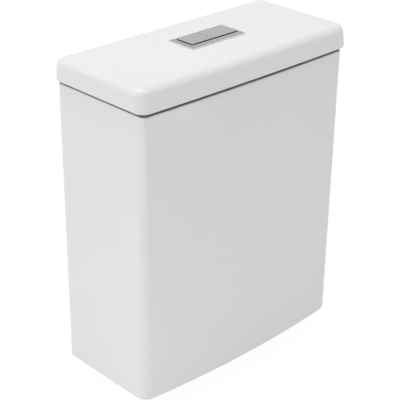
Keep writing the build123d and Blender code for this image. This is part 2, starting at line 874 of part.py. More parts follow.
def make_fill_float():
    top = fill_float_bottom + fill_float_height
    bore = riser_radius + fill_float_gap
    body = disc(fill_float_radius, fill_float_bottom, top, fill_x, fill_y)
    front = fill_y - arm_half_width
    rear = fill_y + arm_half_width
    body += block(float_rod_x - rod_clip_radius, fill_x, front, rear, top - float_ear_height, top)
    hollow = fill_float_radius - float_wall
    inside = disc(hollow, fill_float_bottom - overrun, top - float_wall, fill_x, fill_y)
    inside -= disc(bore + fill_float_boss_wall, fill_float_bottom - 2 * overrun, top, fill_x, fill_y)
    body = body - inside - disc(bore, fill_float_bottom - overrun, top + overrun, fill_x, fill_y)
    return body - disc(float_rod_radius, top - float_ear_height - overrun, top + overrun, float_rod_x, fill_y)


def make_float_rod():
    bottom = fill_float_bottom + fill_float_height - float_ear_height
    return disc(float_rod_radius, bottom, arm_pivot_z + float_rod_rise, float_rod_x, fill_y)


def make_rod_clips():
    clips = []
    for side in (-1, 1):
        near = arm_pivot_z + side * (arm_thickness / 2 + rod_clip_gap)
        far = near + side * rod_clip_height
        low = min(near, far)
        clips.append(ring(rod_clip_radius, float_rod_radius, low, low + rod_clip_height, float_rod_x, fill_y))
    return clips


def make_fill_pipe():
    return ring(pipe_radius, pipe_bore, pipe_bottom, riser_top + pipe_socket, fill_x, fill_y + pipe_offset)


def make_strainer():
    bottom = -fill_tail_drop
    outer = fill_bore_radius - thread_gap
    body = disc(outer, bottom, bottom + strainer_length, fill_x, fill_y)
    body += disc(strainer_flange_radius, bottom - strainer_flange_thickness, bottom, fill_x, fill_y)
    return body - disc(
        outer - strainer_wall, bottom - overrun, bottom + strainer_length - strainer_wall, fill_x, fill_y
    )


def make_wing_nut(x, y, top):
    bottom = top - wing_nut_height
    nut = disc(wing_hub_radius, bottom, top, x, y)
    front = y - wing_thickness / 2
    rear = y + wing_thickness / 2
    wings = block(x - wing_span, x + wing_span, front, rear, top - wing_height, top - wing_thickness)
    wings = fillet(wings.edges().filter_by(Axis.Y), wing_edge_radius)
    nut += wings
    return nut - disc(bolt_neck_radius + thread_gap, top - wing_height - overrun, top + overrun, x, y)


def make_coupling():
    # The two bolts with their washers and nuts, from the head inside down to the wing nut
    groups = {
        "coupling_bolts": [],
        "bolt_seals": [],
        "bolt_head_washers": [],
        "floor_washers": [],
        "floor_nuts": [],
        "pan_rubber_washers": [],
        "pan_steel_washers": [],
        "wing_nuts": [],
    }
    hole = bolt_radius + bolt_clearance
    for x, y in bolt_places():
        seal_top = floor_top + bolt_seal_thickness
        head_seat = seal_top + steel_washer_thickness
        groups["bolt_seals"].append(ring(bolt_seal_radius, hole, floor_top, seal_top, x, y))
        groups["bolt_head_washers"].append(ring(steel_washer_radius, hole, seal_top, head_seat, x, y))
        bolt = hexagon(bolt_head_flats, head_seat, head_seat + bolt_head_height, x, y)
        level = foot_height
        washer = level - steel_washer_thickness
        groups["floor_washers"].append(ring(steel_washer_radius, hole, washer, level, x, y))
        nut = washer - hex_nut_height
        thread = bolt_neck_radius + thread_gap
        hex_nut = hexagon(bolt_head_flats, nut, washer, x, y)
        groups["floor_nuts"].append(hex_nut - disc(thread, nut - overrun, washer + overrun, x, y))
        rubber = nut - pan_washer_thickness
        groups["pan_rubber_washers"].append(ring(pan_washer_radius, hole, rubber, nut, x, y))
        plate = rubber - steel_washer_thickness
        groups["pan_steel_washers"].append(ring(steel_washer_radius, hole, plate, rubber, x, y))
        groups["wing_nuts"].append(make_wing_nut(x, y, plate))
        neck_bottom = plate - wing_height - bolt_neck_gap
        bolt += disc(bolt_neck_radius, neck_bottom, head_seat, x, y)
        groups["coupling_bolts"].append(bolt + disc(bolt_radius, -coupling_drop, neck_bottom, x, y))
    return groups


def make_parts():
    half_left = opening_left + button_gap
    full_right = opening_left + opening_width - button_gap
    spring_top = lid_top + button_rise - button_top_thickness
    shank_hole = shank_radius + thread_gap
    fill_washer_bottom = foot_height - fill_washer_thickness
    fill_nut_bottom = fill_washer_bottom - fill_nut_thickness
    fill_nut = hexagon(fill_nut_flats, fill_nut_bottom, fill_washer_bottom, fill_x, fill_y)
    fill_hole = fill_relief_radius + thread_gap
    fill_nut -= disc(fill_hole, fill_nut_bottom - overrun, foot_height, fill_x, fill_y)
    seat = fill_head_top - diaphragm_seat_depth
    parts = {
        "tank": make_tank(),
        "lid": make_lid(),
        "lid_pads": make_lid_pads(),
        "button_bezel": make_bezel(),
        "button_housing": make_housing(),
        "clamp_cup": make_clamp_cup(),
        "clamp_nut": make_clamp_nut(),
        "half_flush_button": make_button(half_left, split_x - split_gap / 2, half_stem_x),
        "full_flush_button": make_button(split_x + split_gap / 2, full_right, full_stem_x),
        "half_push_rod": make_push_rod(half_stem_x),
        "full_push_rod": make_push_rod(full_stem_x),
        "half_stem_clip": make_stem_clip(half_stem_x),
        "full_stem_clip": make_stem_clip(full_stem_x),
        "half_button_spring": make_spring(half_stem_x, unit_y, pocket_bottom, spring_top),
        "full_button_spring": make_spring(full_stem_x, unit_y, pocket_bottom, spring_top),
        "valve_base": make_valve_base(),
        "base_seal": ring(shank_radius + base_seal_width, shank_hole, floor_top, flange_bottom),
        "shank_washer": ring(
            shank_washer_radius, shank_hole, foot_height - shank_washer_thickness, foot_height
        ),
        "shank_backnut": make_backnut(),
        "pan_gasket": make_gasket(),
        "valve_cage": make_cage(),
        "valve_tower": make_tower(),
        "tower_head": make_head(),
        "lever_pin": make_lever_pin(),
        "half_lever": make_lever(half_stem_x),
        "full_lever": make_lever(full_stem_x),
        "overflow_tube": make_tube(),
        "valve_seal": ring(seal_radius, seal_hole_radius, seat_top, retainer_bottom),
        "seal_retainer": make_retainer(),
        "full_flush_float": make_full_float(),
        "lift_hanger": make_hanger(),
        "half_float_rod": make_half_rod(),
        "half_flush_float": make_half_float(),
        "fill_valve_body": make_fill_body(),
        "fill_inlet_seal": ring(
            fill_flange_radius, fill_hole, floor_top, fill_flange_bottom, fill_x, fill_y
        ),
        "fill_washer": ring(fill_flange_radius, fill_hole, fill_washer_bottom, foot_height, fill_x, fill_y),
        "fill_backnut": fill_nut,
        "inlet_strainer": make_strainer(),
        "fill_diaphragm": ring(
            diaphragm_radius, bleed_hole_radius, seat, seat + diaphragm_thickness, fill_x, fill_y
        ),
        "fill_cap": make_fill_cap(),
        "arm_pin": make_arm_pin(),
        "fill_arm": make_fill_arm(),
        "fill_float": make_fill_float(),
        "float_rod": make_float_rod(),
        "rod_clips": make_rod_clips(),
        "fill_pipe": make_fill_pipe(),
    }
    parts.update(make_coupling())
    return parts


def write_parts(parts):
    os.makedirs("parts", exist_ok=True)
    for name, shape in parts.items():
        solids = shape if isinstance(shape, list) else [shape]
        whole = Compound(children=[solid for group in solids for solid in group.solids()])
        export_step(whole, os.path.join("parts", name + ".step"))


write_parts(make_parts())
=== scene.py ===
"""Toilet cistern: ceramic tank and lid, two-button flush unit, flush valve, fill valve and fixings.

Sizes are in millimetres, and each piece is scaled to metres when it is placed. The origin is on
the flush outlet's axis at the plane of the tank's foot; +Z is up and +Y points to the wall.
"""

import json
import logging
import math
from collections.abc import Callable
from dataclasses import astuple, dataclass, field
from enum import Enum

import bmesh
import bpy
from bmesh.types import BMEdge, BMesh, BMFace, BMVert
from bpy.types import ID, Material, Mesh, Node, NodeLinks, Nodes, NodeSocket, NodeTree, Object
from mathutils import Matrix, Vector

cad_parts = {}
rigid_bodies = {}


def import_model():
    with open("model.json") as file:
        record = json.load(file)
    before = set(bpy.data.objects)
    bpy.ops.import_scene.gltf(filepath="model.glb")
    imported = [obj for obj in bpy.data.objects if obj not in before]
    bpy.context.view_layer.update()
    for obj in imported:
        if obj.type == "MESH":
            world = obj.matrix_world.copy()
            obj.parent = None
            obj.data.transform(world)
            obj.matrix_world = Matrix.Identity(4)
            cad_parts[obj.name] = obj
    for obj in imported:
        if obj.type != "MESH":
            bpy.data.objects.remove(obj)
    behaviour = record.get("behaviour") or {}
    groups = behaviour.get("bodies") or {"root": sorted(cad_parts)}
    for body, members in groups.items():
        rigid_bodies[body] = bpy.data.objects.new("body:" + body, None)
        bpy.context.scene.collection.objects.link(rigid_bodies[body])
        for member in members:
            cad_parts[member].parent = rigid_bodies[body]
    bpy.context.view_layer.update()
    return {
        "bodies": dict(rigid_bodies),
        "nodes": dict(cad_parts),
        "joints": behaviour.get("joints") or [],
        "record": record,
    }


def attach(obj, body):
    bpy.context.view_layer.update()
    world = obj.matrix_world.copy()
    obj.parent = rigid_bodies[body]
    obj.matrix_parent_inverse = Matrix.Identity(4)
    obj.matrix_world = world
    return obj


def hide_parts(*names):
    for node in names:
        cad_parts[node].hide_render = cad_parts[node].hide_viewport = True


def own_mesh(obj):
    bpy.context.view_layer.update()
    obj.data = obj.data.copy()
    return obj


Triple = tuple[float, float, float]
Roundings = tuple[tuple[str, float], ...]

LOG = logging.getLogger("cistern")
MM = 0.001
CLOSE = 1e-3  # distance in millimetres at which two places of a mesh count as one
WELD = 1e-4  # the same for the doubles of a mesh that is made here
ON_AXIS = 1e-6  # radius below which a corner of a section lies on its axis
ALONG_SHARE = 0.7  # share of an edge or a normal that lies along an axis when it follows it
SHARP_DEGREES = 35.0
FLAT_DEGREES = 0.6
COLOUR = "NodeSocketColor"
NUMBER = "NodeSocketFloat"


class Slot(Enum):
    """Material slots of the part's record."""

    CHINA = "glazed_china"
    CHROME = "satin_chrome"
    WHITE = "white_plastic"
    GREY = "grey_plastic"
    BLUE = "blue_plastic"
    RUBBER = "black_rubber"
    FOAM = "black_foam"
    ZINC = "zinc_steel"
    SPRING = "spring_steel"
    BRASS = "brass"
    MESH = "mesh_plastic"


class Accent(Enum):
    """Second finishes for some faces: painted shade on clay and chrome, and painted light on chrome."""

    # bare unglazed clay, darkened as painted shade in the gap between tank and lid
    CLAY = "bare_clay"
    # near-black button sides: painted shade in the gaps round the buttons
    SIDE = "dark_button_side"
    # two lighter copies of the satin chrome: painted light on the frame's steps, the outer one lightest
    INNER_STEP_LIGHT = "inner_plate_step"
    OUTER_STEP_LIGHT = "outer_plate_step"
    # near-black: painted shade in the frame's grooves and mouth
    GROOVE = "dark_plate_groove"


class Effect(Enum):
    """Shader node groups shared by the finishes."""

    CLOUDING = "surface_clouding"
    RELIEF = "fine_relief"
    GRAIN = "brushed_grain"


# Shader node groups


def set_inputs(node: Node, values: dict[str, float | tuple[float, ...]]) -> None:
    """Sets inputs of a node by their names."""
    for name, value in values.items():
        node.inputs[name].default_value = value


def new_group(
    effect: Effect, inputs: dict[str, str], outputs: dict[str, str]
) -> tuple[NodeTree, Node, Node, NodeSocket]:
    """Starts a node group.

    Args:
        effect: what the group makes.
        inputs: each input's name and kind.
        outputs: each output's name and kind.

    Returns:
        The group, its input node, its output node and the socket of the Object coordinates.
    """
    group = bpy.data.node_groups.new(effect.value, "ShaderNodeTree")
    for way, sockets in (("INPUT", inputs), ("OUTPUT", outputs)):
        for name, kind in sockets.items():
            group.interface.new_socket(name=name, in_out=way, socket_type=kind)
    given = group.nodes.new("NodeGroupInput")
    out = group.nodes.new("NodeGroupOutput")
    place = group.nodes.new("ShaderNodeTexCoord")
    return group, given, out, place.outputs["Object"]


def add_noise(group: NodeTree, place: NodeSocket, scale: NodeSocket, detail: float) -> NodeSocket:
    """Adds a noise to a node group.

    Args:
        group: the node group.
        place: where the noise is read.
        scale: how fine it is.
        detail: how many finer layers lie over it.

    Returns:
        The noise's value.
    """
    noise = group.nodes.new("ShaderNodeTexNoise")
    noise.inputs["Detail"].default_value = detail
    group.links.new(place, noise.inputs["Vector"])
    group.links.new(scale, noise.inputs["Scale"])
    return noise.outputs["Fac"]


def spread_roughness(group: NodeTree, mask: NodeSocket, given: Node, out: Node) -> None:
    """Makes a group's Roughness run from Smooth to Dull over a mask.

    Args:
        group: the node group.
        mask: 0 where the surface is smooth, 1 where it is dull.
        given: the group's input node.
        out: the group's output node.
    """
    dull = group.nodes.new("ShaderNodeMapRange")
    group.links.new(mask, dull.inputs["Value"])
    group.links.new(given.outputs["Smooth"], dull.inputs["To Min"])
    group.links.new(given.outputs["Dull"], dull.inputs["To Max"])
    group.links.new(dull.outputs["Result"], out.inputs["Roughness"])


def clouding_group() -> NodeTree:
    """Slow drift between two close colours and two roughnesses over a surface.

    Returns:
        A group with inputs Base, Shade, Smooth, Dull and Scale, and outputs Color and Roughness.
    """
    group, given, out, place = new_group(
        Effect.CLOUDING,
        {"Base": COLOUR, "Shade": COLOUR, "Smooth": NUMBER, "Dull": NUMBER, "Scale": NUMBER},
        {"Color": COLOUR, "Roughness": NUMBER},
    )
    links = group.links
    noise = add_noise(group, place, given.outputs["Scale"], 3.0)
    ramp = group.nodes.new("ShaderNodeMapRange")
    set_inputs(ramp, {"From Min": 0.35, "From Max": 0.65})
    links.new(noise, ramp.inputs["Value"])
    tint = group.nodes.new("ShaderNodeMix")
    tint.data_type = "RGBA"
    links.new(ramp.outputs["Result"], tint.inputs["Factor"])
    links.new(given.outputs["Base"], tint.inputs["A"])
    links.new(given.outputs["Shade"], tint.inputs["B"])
    links.new(tint.outputs["Result"], out.inputs["Color"])
    spread_roughness(group, ramp.outputs["Result"], given, out)
    return group


def relief_group() -> NodeTree:
    """Low bumps, broad or fine, such as a glaze's orange peel or a mould's texture.

    Returns:
        A group with inputs Broad Scale, Fine Scale and Fine Share, and the output Height.
    """
    group, given, out, place = new_group(
        Effect.RELIEF, dict.fromkeys(("Broad Scale", "Fine Scale", "Fine Share"), NUMBER),
        {"Height": NUMBER},
    )
    broad = add_noise(group, place, given.outputs["Broad Scale"], 1.0)
    fine = add_noise(group, place, given.outputs["Fine Scale"], 4.0)
    blend = group.nodes.new("ShaderNodeMix")
    blend.data_type = "FLOAT"
    group.links.new(given.outputs["Fine Share"], blend.inputs["Factor"])
    group.links.new(broad, blend.inputs["A"])
    group.links.new(fine, blend.inputs["B"])
    group.links.new(blend.outputs["Result"], out.inputs["Height"])
    return group


def grain_group() -> NodeTree:
    """Fine parallel lines of satin plate or drawn metal, running along X.

    Returns:
        A group with inputs Scale, Smooth and Dull, and outputs Height and Roughness.
    """
    group, given, out, place = new_group(
        Effect.GRAIN, dict.fromkeys(("Scale", "Smooth", "Dull"), NUMBER),
        {"Height": NUMBER, "Roughness": NUMBER},
    )
    stretch = group.nodes.new("ShaderNodeMapping")
    stretch.inputs["Scale"].default_value = (0.03, 1.0, 1.0)
    group.links.new(place, stretch.inputs["Vector"])
    noise = add_noise(group, stretch.outputs["Vector"], given.outputs["Scale"], 2.0)
    group.links.new(noise, out.inputs["Height"])
    spread_roughness(group, noise, given, out)
    return group


# Finishes


@dataclass(frozen=True)
class Finish:
    """One surface finish: its colours, gloss and relief."""

    slot: Slot | Accent
    base: Triple
    shade: Triple
    smooth: float
    dull: float
    cloud_scale: float = 9.0
    metallic: float = 0.0
    ior: float = 1.5
    broad_scale: float = 12.0
    fine_scale: float = 400.0
    fine_share: float = 0.5
    relief: float = 0.00002
    grain_scale: float = 0.0

    def material(self, groups: dict[Effect, NodeTree]) -> Material:
        """Makes the finish's material.

        Args:
            groups: the shared node groups.

        Returns:
            The material, named after its slot.
        """
        material = bpy.data.materials.new(self.slot.value)
        material.use_nodes = True
        nodes, links = material.node_tree.nodes, material.node_tree.links
        shader = nodes["Principled BSDF"]
        set_inputs(shader, {"Metallic": self.metallic, "IOR": self.ior})
        clouding = nodes.new("ShaderNodeGroup")
        clouding.node_tree = groups[Effect.CLOUDING]
        set_inputs(clouding, {
            "Base": (*self.base, 1.0), "Shade": (*self.shade, 1.0), "Smooth": self.smooth,
            "Dull": self.dull, "Scale": self.cloud_scale,
        })
        links.new(clouding.outputs["Color"], shader.inputs["Base Color"])
        bump = nodes.new("ShaderNodeBump")
        set_inputs(bump, {"Strength": 1.0, "Distance": self.relief})
        height = nodes.new("ShaderNodeGroup")
        if self.grain_scale:
            height.node_tree = groups[Effect.GRAIN]
            set_inputs(height, {"Scale": self.grain_scale, "Smooth": self.smooth, "Dull": self.dull})
            links.new(height.outputs["Roughness"], shader.inputs["Roughness"])
        else:
            height.node_tree = groups[Effect.RELIEF]
            set_inputs(height, {
                "Broad Scale": self.broad_scale, "Fine Scale": self.fine_scale,
                "Fine Share": self.fine_share,
            })
            links.new(clouding.outputs["Roughness"], shader.inputs["Roughness"])
        links.new(height.outputs["Height"], bump.inputs["Height"])
        links.new(bump.outputs["Normal"], shader.inputs["Normal"])
        return material


FINISHES = (
    Finish(Slot.CHINA, (0.85, 0.852, 0.856), (0.84, 0.843, 0.848), 0.10, 0.14, 3.0, broad_scale=9.0,
           fine_scale=60.0, fine_share=0.05, relief=0.0008),
    Finish(Slot.CHROME, (0.402, 0.407, 0.412), (0.39, 0.395, 0.40), 0.20, 0.32, 30.0, metallic=1.0,
           relief=0.000004, grain_scale=2500.0),
    Finish(Slot.WHITE, (0.80, 0.80, 0.78), (0.77, 0.77, 0.75), 0.28, 0.36, 30.0, relief=0.00003),
    Finish(Slot.GREY, (0.30, 0.32, 0.34), (0.27, 0.29, 0.31), 0.38, 0.48, 30.0, relief=0.00004),
    Finish(Slot.BLUE, (0.045, 0.13, 0.36), (0.04, 0.115, 0.32), 0.34, 0.44, 30.0, relief=0.00004),
    Finish(Slot.RUBBER, (0.018, 0.018, 0.019), (0.026, 0.026, 0.027), 0.55, 0.7, 60.0, relief=0.00005),
    Finish(Slot.FOAM, (0.028, 0.028, 0.03), (0.045, 0.045, 0.047), 0.8, 0.95, 220.0, fine_scale=900.0,
           fine_share=0.8, relief=0.0004),
    Finish(Slot.ZINC, (0.55, 0.56, 0.55), (0.48, 0.49, 0.47), 0.28, 0.42, 120.0, metallic=1.0,
           relief=0.00003),
    Finish(Slot.SPRING, (0.50, 0.50, 0.51), (0.44, 0.44, 0.45), 0.2, 0.3, 120.0, metallic=1.0,
           relief=0.000005, grain_scale=1800.0),
    Finish(Slot.BRASS, (0.60, 0.41, 0.16), (0.54, 0.36, 0.13), 0.2, 0.32, 90.0, metallic=1.0,
           relief=0.00001, grain_scale=1500.0),
    Finish(Slot.MESH, (0.55, 0.56, 0.54), (0.30, 0.31, 0.30), 0.45, 0.6, 900.0, fine_scale=1500.0,
           fine_share=0.9, relief=0.0003),
    # bare clay, darkened well below its real tone as painted shade in the gap under the lid
    Finish(Accent.CLAY, (0.42, 0.412, 0.40), (0.35, 0.342, 0.33), 0.8, 0.95, 40.0, fine_scale=600.0,
           fine_share=0.7, relief=0.0002),
    # painted shade on the button sides, for the gaps round the buttons
    Finish(Accent.SIDE, (0.012, 0.012, 0.013), (0.018, 0.018, 0.019), 0.5, 0.65, 60.0, relief=0.00001),
    # lighter copies of the satin chrome: painted light on the frame's steps
    Finish(Accent.INNER_STEP_LIGHT, (0.52, 0.525, 0.53), (0.50, 0.505, 0.51), 0.22, 0.34, 30.0, metallic=1.0,
           relief=0.00001),
    Finish(Accent.OUTER_STEP_LIGHT, (0.60, 0.605, 0.61), (0.58, 0.585, 0.59), 0.22, 0.34, 30.0, metallic=1.0,
           relief=0.00001),
    # painted shade in the frame's grooves and mouth
    Finish(Accent.GROOVE, (0.03, 0.03, 0.031), (0.02, 0.02, 0.021), 0.3, 0.45, 30.0, metallic=1.0,
           relief=0.00001),
)


# Mesh tools


@dataclass(frozen=True)
class Plan:
    """Plan of a ceramic shell at one level: a bowed front, straight sides and back."""

    width: float
    front: float
    back: float
    bow: float  # how far the front falls back at the sides

    def inset(self, amount: float) -> "Plan":
        """The plan drawn in by an amount on all sides."""
        return Plan(self.width - 2 * amount, self.front + amount, self.back - amount, self.bow)

    def toward(self, other: "Plan", share: float) -> "Plan":
        """The plan at a share of the way to another one."""
        return Plan(*(own + (goal - own) * share for own, goal in zip(astuple(self), astuple(other))))

    def point(self, across: float, behind: bool) -> Vector:
        """A point of the plan.

        Args:
            across: place from -1 at the left side to 1 at the right.
            behind: True for the back edge, False for the front one.

        Returns:
            The point, at level zero.
        """
        y = self.back if behind else self.front + self.bow * across * across
        return Vector((across * self.width / 2, y, 0.0))


def bevel(bm: BMesh, edges: list[BMEdge], width: float, steps: int) -> None:
    """Rounds edges with a round section.

    Args:
        bm: the mesh.
        edges: the edges to round.
        width: distance from the edge to where the rounding starts.
        steps: number of faces across the rounding.
    """
    bmesh.ops.bevel(
        bm, geom=edges, offset=width, offset_type="OFFSET", segments=steps, profile=0.5,
        affect="EDGES", clamp_overlap=False, loop_slide=True, material=-1,
    )


def along(edge: BMEdge, axis: int) -> bool:
    """True if an edge runs along an axis."""
    step = edge.verts[1].co - edge.verts[0].co
    return abs(step[axis]) > ALONG_SHARE * step.length


def at_level(edge: BMEdge, level: float) -> bool:
    """True if both ends of an edge lie at a level."""
    return all(abs(vert.co.z - level) < CLOSE for vert in edge.verts)


def stored(bm: BMesh, name: str) -> Mesh:
    """Keeps a shape as a mesh of its own.

    Args:
        bm: the shape; it is freed.
        name: the mesh's name.

    Returns:
        The mesh.
    """
    mesh = bpy.data.meshes.new(name)
    bm.to_mesh(mesh)
    bm.free()
    return mesh


def added_object(name: str, data: ID) -> Object:
    """Makes an object and adds it to the scene.

    Args:
        name: the object's name.
        data: its mesh, camera or lamp.

    Returns:
        The object.
    """
    thing = bpy.data.objects.new(name, data)
    bpy.context.scene.collection.objects.link(thing)
    return thing


def join(bm: BMesh, other: BMesh) -> None:
    """Adds another mesh's faces to a mesh.

    Args:
        bm: the mesh that grows.
        other: the mesh to add; it is freed.
    """
    mesh = stored(other, "joined")
    bm.from_mesh(mesh)
    bpy.data.meshes.remove(mesh)


def turn_outwards(bm: BMesh) -> None:
    """Merges doubles and points every face of a closed shape outwards."""
    bmesh.ops.remove_doubles(bm, verts=bm.verts, dist=WELD)
    bmesh.ops.recalc_face_normals(bm, faces=bm.faces)


@dataclass(frozen=True)
class Shell:
    """A ceramic block between two levels, with rounded corners and edges."""

    low: Plan
    high: Plan
    bottom: float
    top: float
    front_radius: float
    back_radius: float
    bottom_edge: float = 0.0
    top_edge: float = 0.0
    high_front_radius: float = 0.0
    columns: int = 22
    rows: int = 10
    shoulder: float = 30.0  # from a corner to the next column, so that its rounding has room
    front_steps: int = 12
    back_steps: int = 8
    edge_steps: int = 6
    corner_reach_share: float = 1.1  # share of the radius within which points are drawn in

    def mesh(self) -> BMesh:
        """Builds the block from a cube.

        Returns:
            The block's mesh.
        """
        bm = bmesh.new()
        bmesh.ops.create_cube(bm, size=2.0)
        for axis, count in ((0, self.columns), (2, self.rows)):
            edges = [edge for edge in bm.edges if along(edge, axis)]
            bmesh.ops.subdivide_edges(bm, edges=edges, cuts=count - 1, use_grid_fill=True)
        corners = [
            edge for edge in bm.edges
            if along(edge, 2) and all(abs(abs(vert.co.x) - 1) < WELD for vert in edge.verts)
        ]
        front = [edge for edge in corners if edge.verts[0].co.y < 0]
        back = [edge for edge in corners if edge.verts[0].co.y > 0]
        for vert in bm.verts:
            self.seat(vert)
        bevel(bm, back, self.back_radius, self.back_steps)
        bevel(bm, [edge for edge in front if edge.is_valid], self.front_radius, self.front_steps)
        if self.high_front_radius:
            self.taper_corners(bm)
        for level, width in ((self.bottom, self.bottom_edge), (self.top, self.top_edge)):
            if width:
                bm.normal_update()
                rim = [
                    edge for edge in bm.edges
                    if at_level(edge, level)
                    and any(abs(face.normal.z) < ALONG_SHARE for face in edge.link_faces)
                ]
                bevel(bm, rim, width, self.edge_steps)
        return bm

    def plan(self, rise: float) -> Plan:
        """The block's plan at a share of its height."""
        return self.low.toward(self.high, rise)

    def taper_corners(self, bm: BMesh) -> None:
        """Draws the rounded front corners in towards the top, each level about its own corner.

        Args:
            bm: the block's mesh.
        """
        for vert in bm.verts:
            rise = (vert.co.z - self.bottom) / (self.top - self.bottom)
            side = 1.0 if vert.co.x > 0 else -1.0
            corner = self.plan(rise).point(side, False)
            away = Vector((vert.co.x - corner.x, vert.co.y - corner.y))
            if away.length < self.front_radius * self.corner_reach_share:
                share = 1 + (self.high_front_radius / self.front_radius - 1) * rise
                vert.co.x, vert.co.y = corner.x + away.x * share, corner.y + away.y * share

    def seat(self, vert: BMVert) -> None:
        """Moves a vertex to its place on the block.

        Args:
            vert: a vertex of the divided cube.
        """
        step = round((vert.co.x + 1) / 2 * self.columns)
        rise = (vert.co.z + 1) / 2
        plan = self.plan(rise)
        inner = 1 - 2 * self.shoulder / plan.width
        if step == 0:
            across = -1.0
        elif step == self.columns:
            across = 1.0
        else:
            across = inner * (2 * (step - 1) / (self.columns - 2) - 1)
        place = plan.point(across, vert.co.y > 0)
        place.z = self.bottom + (self.top - self.bottom) * rise
        vert.co = place


def rounded_loop(bm: BMesh, width: float, depth: float, radius: float, level: float) -> None:
    """Adds a closed loop of edges with rounded corners, centred on the origin.

    Args:
        bm: the mesh.
        width: size along X.
        depth: size along Y.
        radius: radius of the corners.
        level: height of the loop.
    """
    flat = bmesh.new()
    bmesh.ops.create_grid(flat, x_segments=1, y_segments=1, size=0.5)
    bmesh.ops.scale(flat, vec=(width, depth, 1.0), verts=flat.verts)
    bmesh.ops.translate(flat, vec=(0.0, 0.0, level), verts=flat.verts)
    bmesh.ops.bevel(
        flat, geom=list(flat.verts), offset=radius, offset_type="OFFSET", segments=5, profile=0.5,
        affect="VERTICES", clamp_overlap=False, material=-1,
    )
    bmesh.ops.delete(flat, geom=list(flat.faces), context="FACES_ONLY")
    join(bm, flat)


def stacked(rings: list[tuple[float, float, float, float]], closed: bool) -> BMesh:
    """Walls between rounded loops, one after another.

    Args:
        rings: width, depth, corner radius and level of each loop.
        closed: True to join the last loop to the first; False to cap both ends.

    Returns:
        The mesh, with its faces outwards.
    """
    bm = bmesh.new()
    for ring in rings:
        rounded_loop(bm, *ring)
    bm.verts.index_update()
    per_loop = len(bm.verts) // len(rings)
    loops = [
        [edge for edge in bm.edges if edge.verts[0].index // per_loop == place]
        for place in range(len(rings))
    ]
    pairs = list(zip(loops, loops[1:]))
    if closed:
        pairs.append((loops[-1], loops[0]))
    for one, two in pairs:
        bmesh.ops.bridge_loops(bm, edges=one + two)
    if not closed:
        for loop in (loops[0], loops[-1]):
            bmesh.ops.contextual_create(bm, geom=loop)
    turn_outwards(bm)
    return bm


def shifted(bm: BMesh, x: float, y: float) -> BMesh:
    """The same mesh, moved level."""
    bmesh.ops.translate(bm, vec=(x, y, 0.0), verts=bm.verts)
    return bm


def turned(profile: list[tuple[float, float]], x: float = 0.0, y: float = 0.0, steps: int = 64) -> BMesh:
    """A round solid spun from a closed section.

    Args:
        profile: radius and height of the section's corners.
        x: place of the axis.
        y: place of the axis.
        steps: faces round the axis.

    Returns:
        The mesh, with its faces outwards.
    """
    bm = bmesh.new()
    verts = [bm.verts.new((x + radius, y, level)) for radius, level in profile]
    edges = [
        bm.edges.new((one, two)) for one, two in zip(verts, verts[1:] + verts[:1])
        if (one.co.x - x) > ON_AXIS or (two.co.x - x) > ON_AXIS
    ]
    bmesh.ops.spin(
        bm, geom=verts + edges, cent=(x, y, 0.0), axis=(0.0, 0.0, 1.0), angle=2 * math.pi, steps=steps,
        use_merge=True,
    )
    turn_outwards(bm)
    return bm


@dataclass(frozen=True)
class Thread:
    """The ridge of a screw thread: its radii, the rise of one turn, its ends and the faces in a turn."""

    core: float
    crest: float
    pitch: float
    bottom: float
    top: float
    steps: int
    sink: float = 0.1  # how far the ridge's root lies inside the core
    flank_shares: tuple[float, float, float, float] = (0.0, 0.42, 0.56, 0.98)

    def wind(self, bm: BMesh, x: float = 0.0, y: float = 0.0) -> None:
        """Adds the ridge to a piece, round its core.

        Args:
            bm: the piece's mesh.
            x: place of the axis.
            y: place of the axis.
        """
        ridge = bmesh.new()
        root = self.core - self.sink
        verts = [
            ridge.verts.new((x + radius, y, self.bottom + share * self.pitch))
            for radius, share in zip((root, self.crest, self.crest, root), self.flank_shares)
        ]
        edges = [ridge.edges.new(pair) for pair in zip(verts, verts[1:] + verts[:1])]
        count = int(self.steps * ((self.top - self.bottom - self.pitch) / self.pitch))
        bmesh.ops.spin(
            ridge, geom=verts + edges, cent=(x, y, 0.0), axis=(0.0, 0.0, 1.0),
            dvec=(0.0, 0.0, self.pitch / self.steps), angle=2 * math.pi * count / self.steps, steps=count,
        )
        ends = [edge for edge in ridge.edges if edge.is_boundary]
        bmesh.ops.holes_fill(ridge, edges=ends, sides=len(verts))
        turn_outwards(ridge)
        join(bm, ridge)


def wire_coil(
    x: float, y: float, bottom: float, top: float, radius: float, wire: float, turns: int
) -> BMesh:
    """A spring of one round wire.

    Args:
        x: place of the axis.
        y: place of the axis.
        bottom: level of the spring's lower end.
        top: level of its upper end.
        radius: radius of the coil at the wire's middle.
        wire: the wire's radius.
        turns: number of turns.

    Returns:
        The spring's mesh.
    """
    bm = bmesh.new()
    sides, per_turn = 10, 32
    count = per_turn * turns
    stand = Matrix.Translation((x + radius, y, bottom + wire)) @ Matrix.Rotation(math.pi / 2, 4, "X")
    bmesh.ops.create_circle(bm, segments=sides, radius=wire, matrix=stand)
    rise = (top - bottom - 2 * wire) / count
    bmesh.ops.spin(
        bm, geom=list(bm.verts) + list(bm.edges), cent=(x, y, 0.0), axis=(0.0, 0.0, 1.0),
        dvec=(0.0, 0.0, rise), angle=2 * math.pi * turns, steps=count,
    )
    bmesh.ops.holes_fill(bm, edges=[edge for edge in bm.edges if edge.is_boundary], sides=sides)
    turn_outwards(bm)
    return bm


def soften(bm: BMesh, width: float, steps: int = 2) -> None:
    """Rounds every sharp edge a little.

    Args:
        bm: the mesh.
        width: width of the rounding.
        steps: faces across it.
    """
    sharp = [
        edge for edge in bm.edges
        if len(edge.link_faces) == 2 and edge.calc_face_angle(0.0) > math.radians(SHARP_DEGREES)
    ]
    bevel(bm, sharp, width, steps)


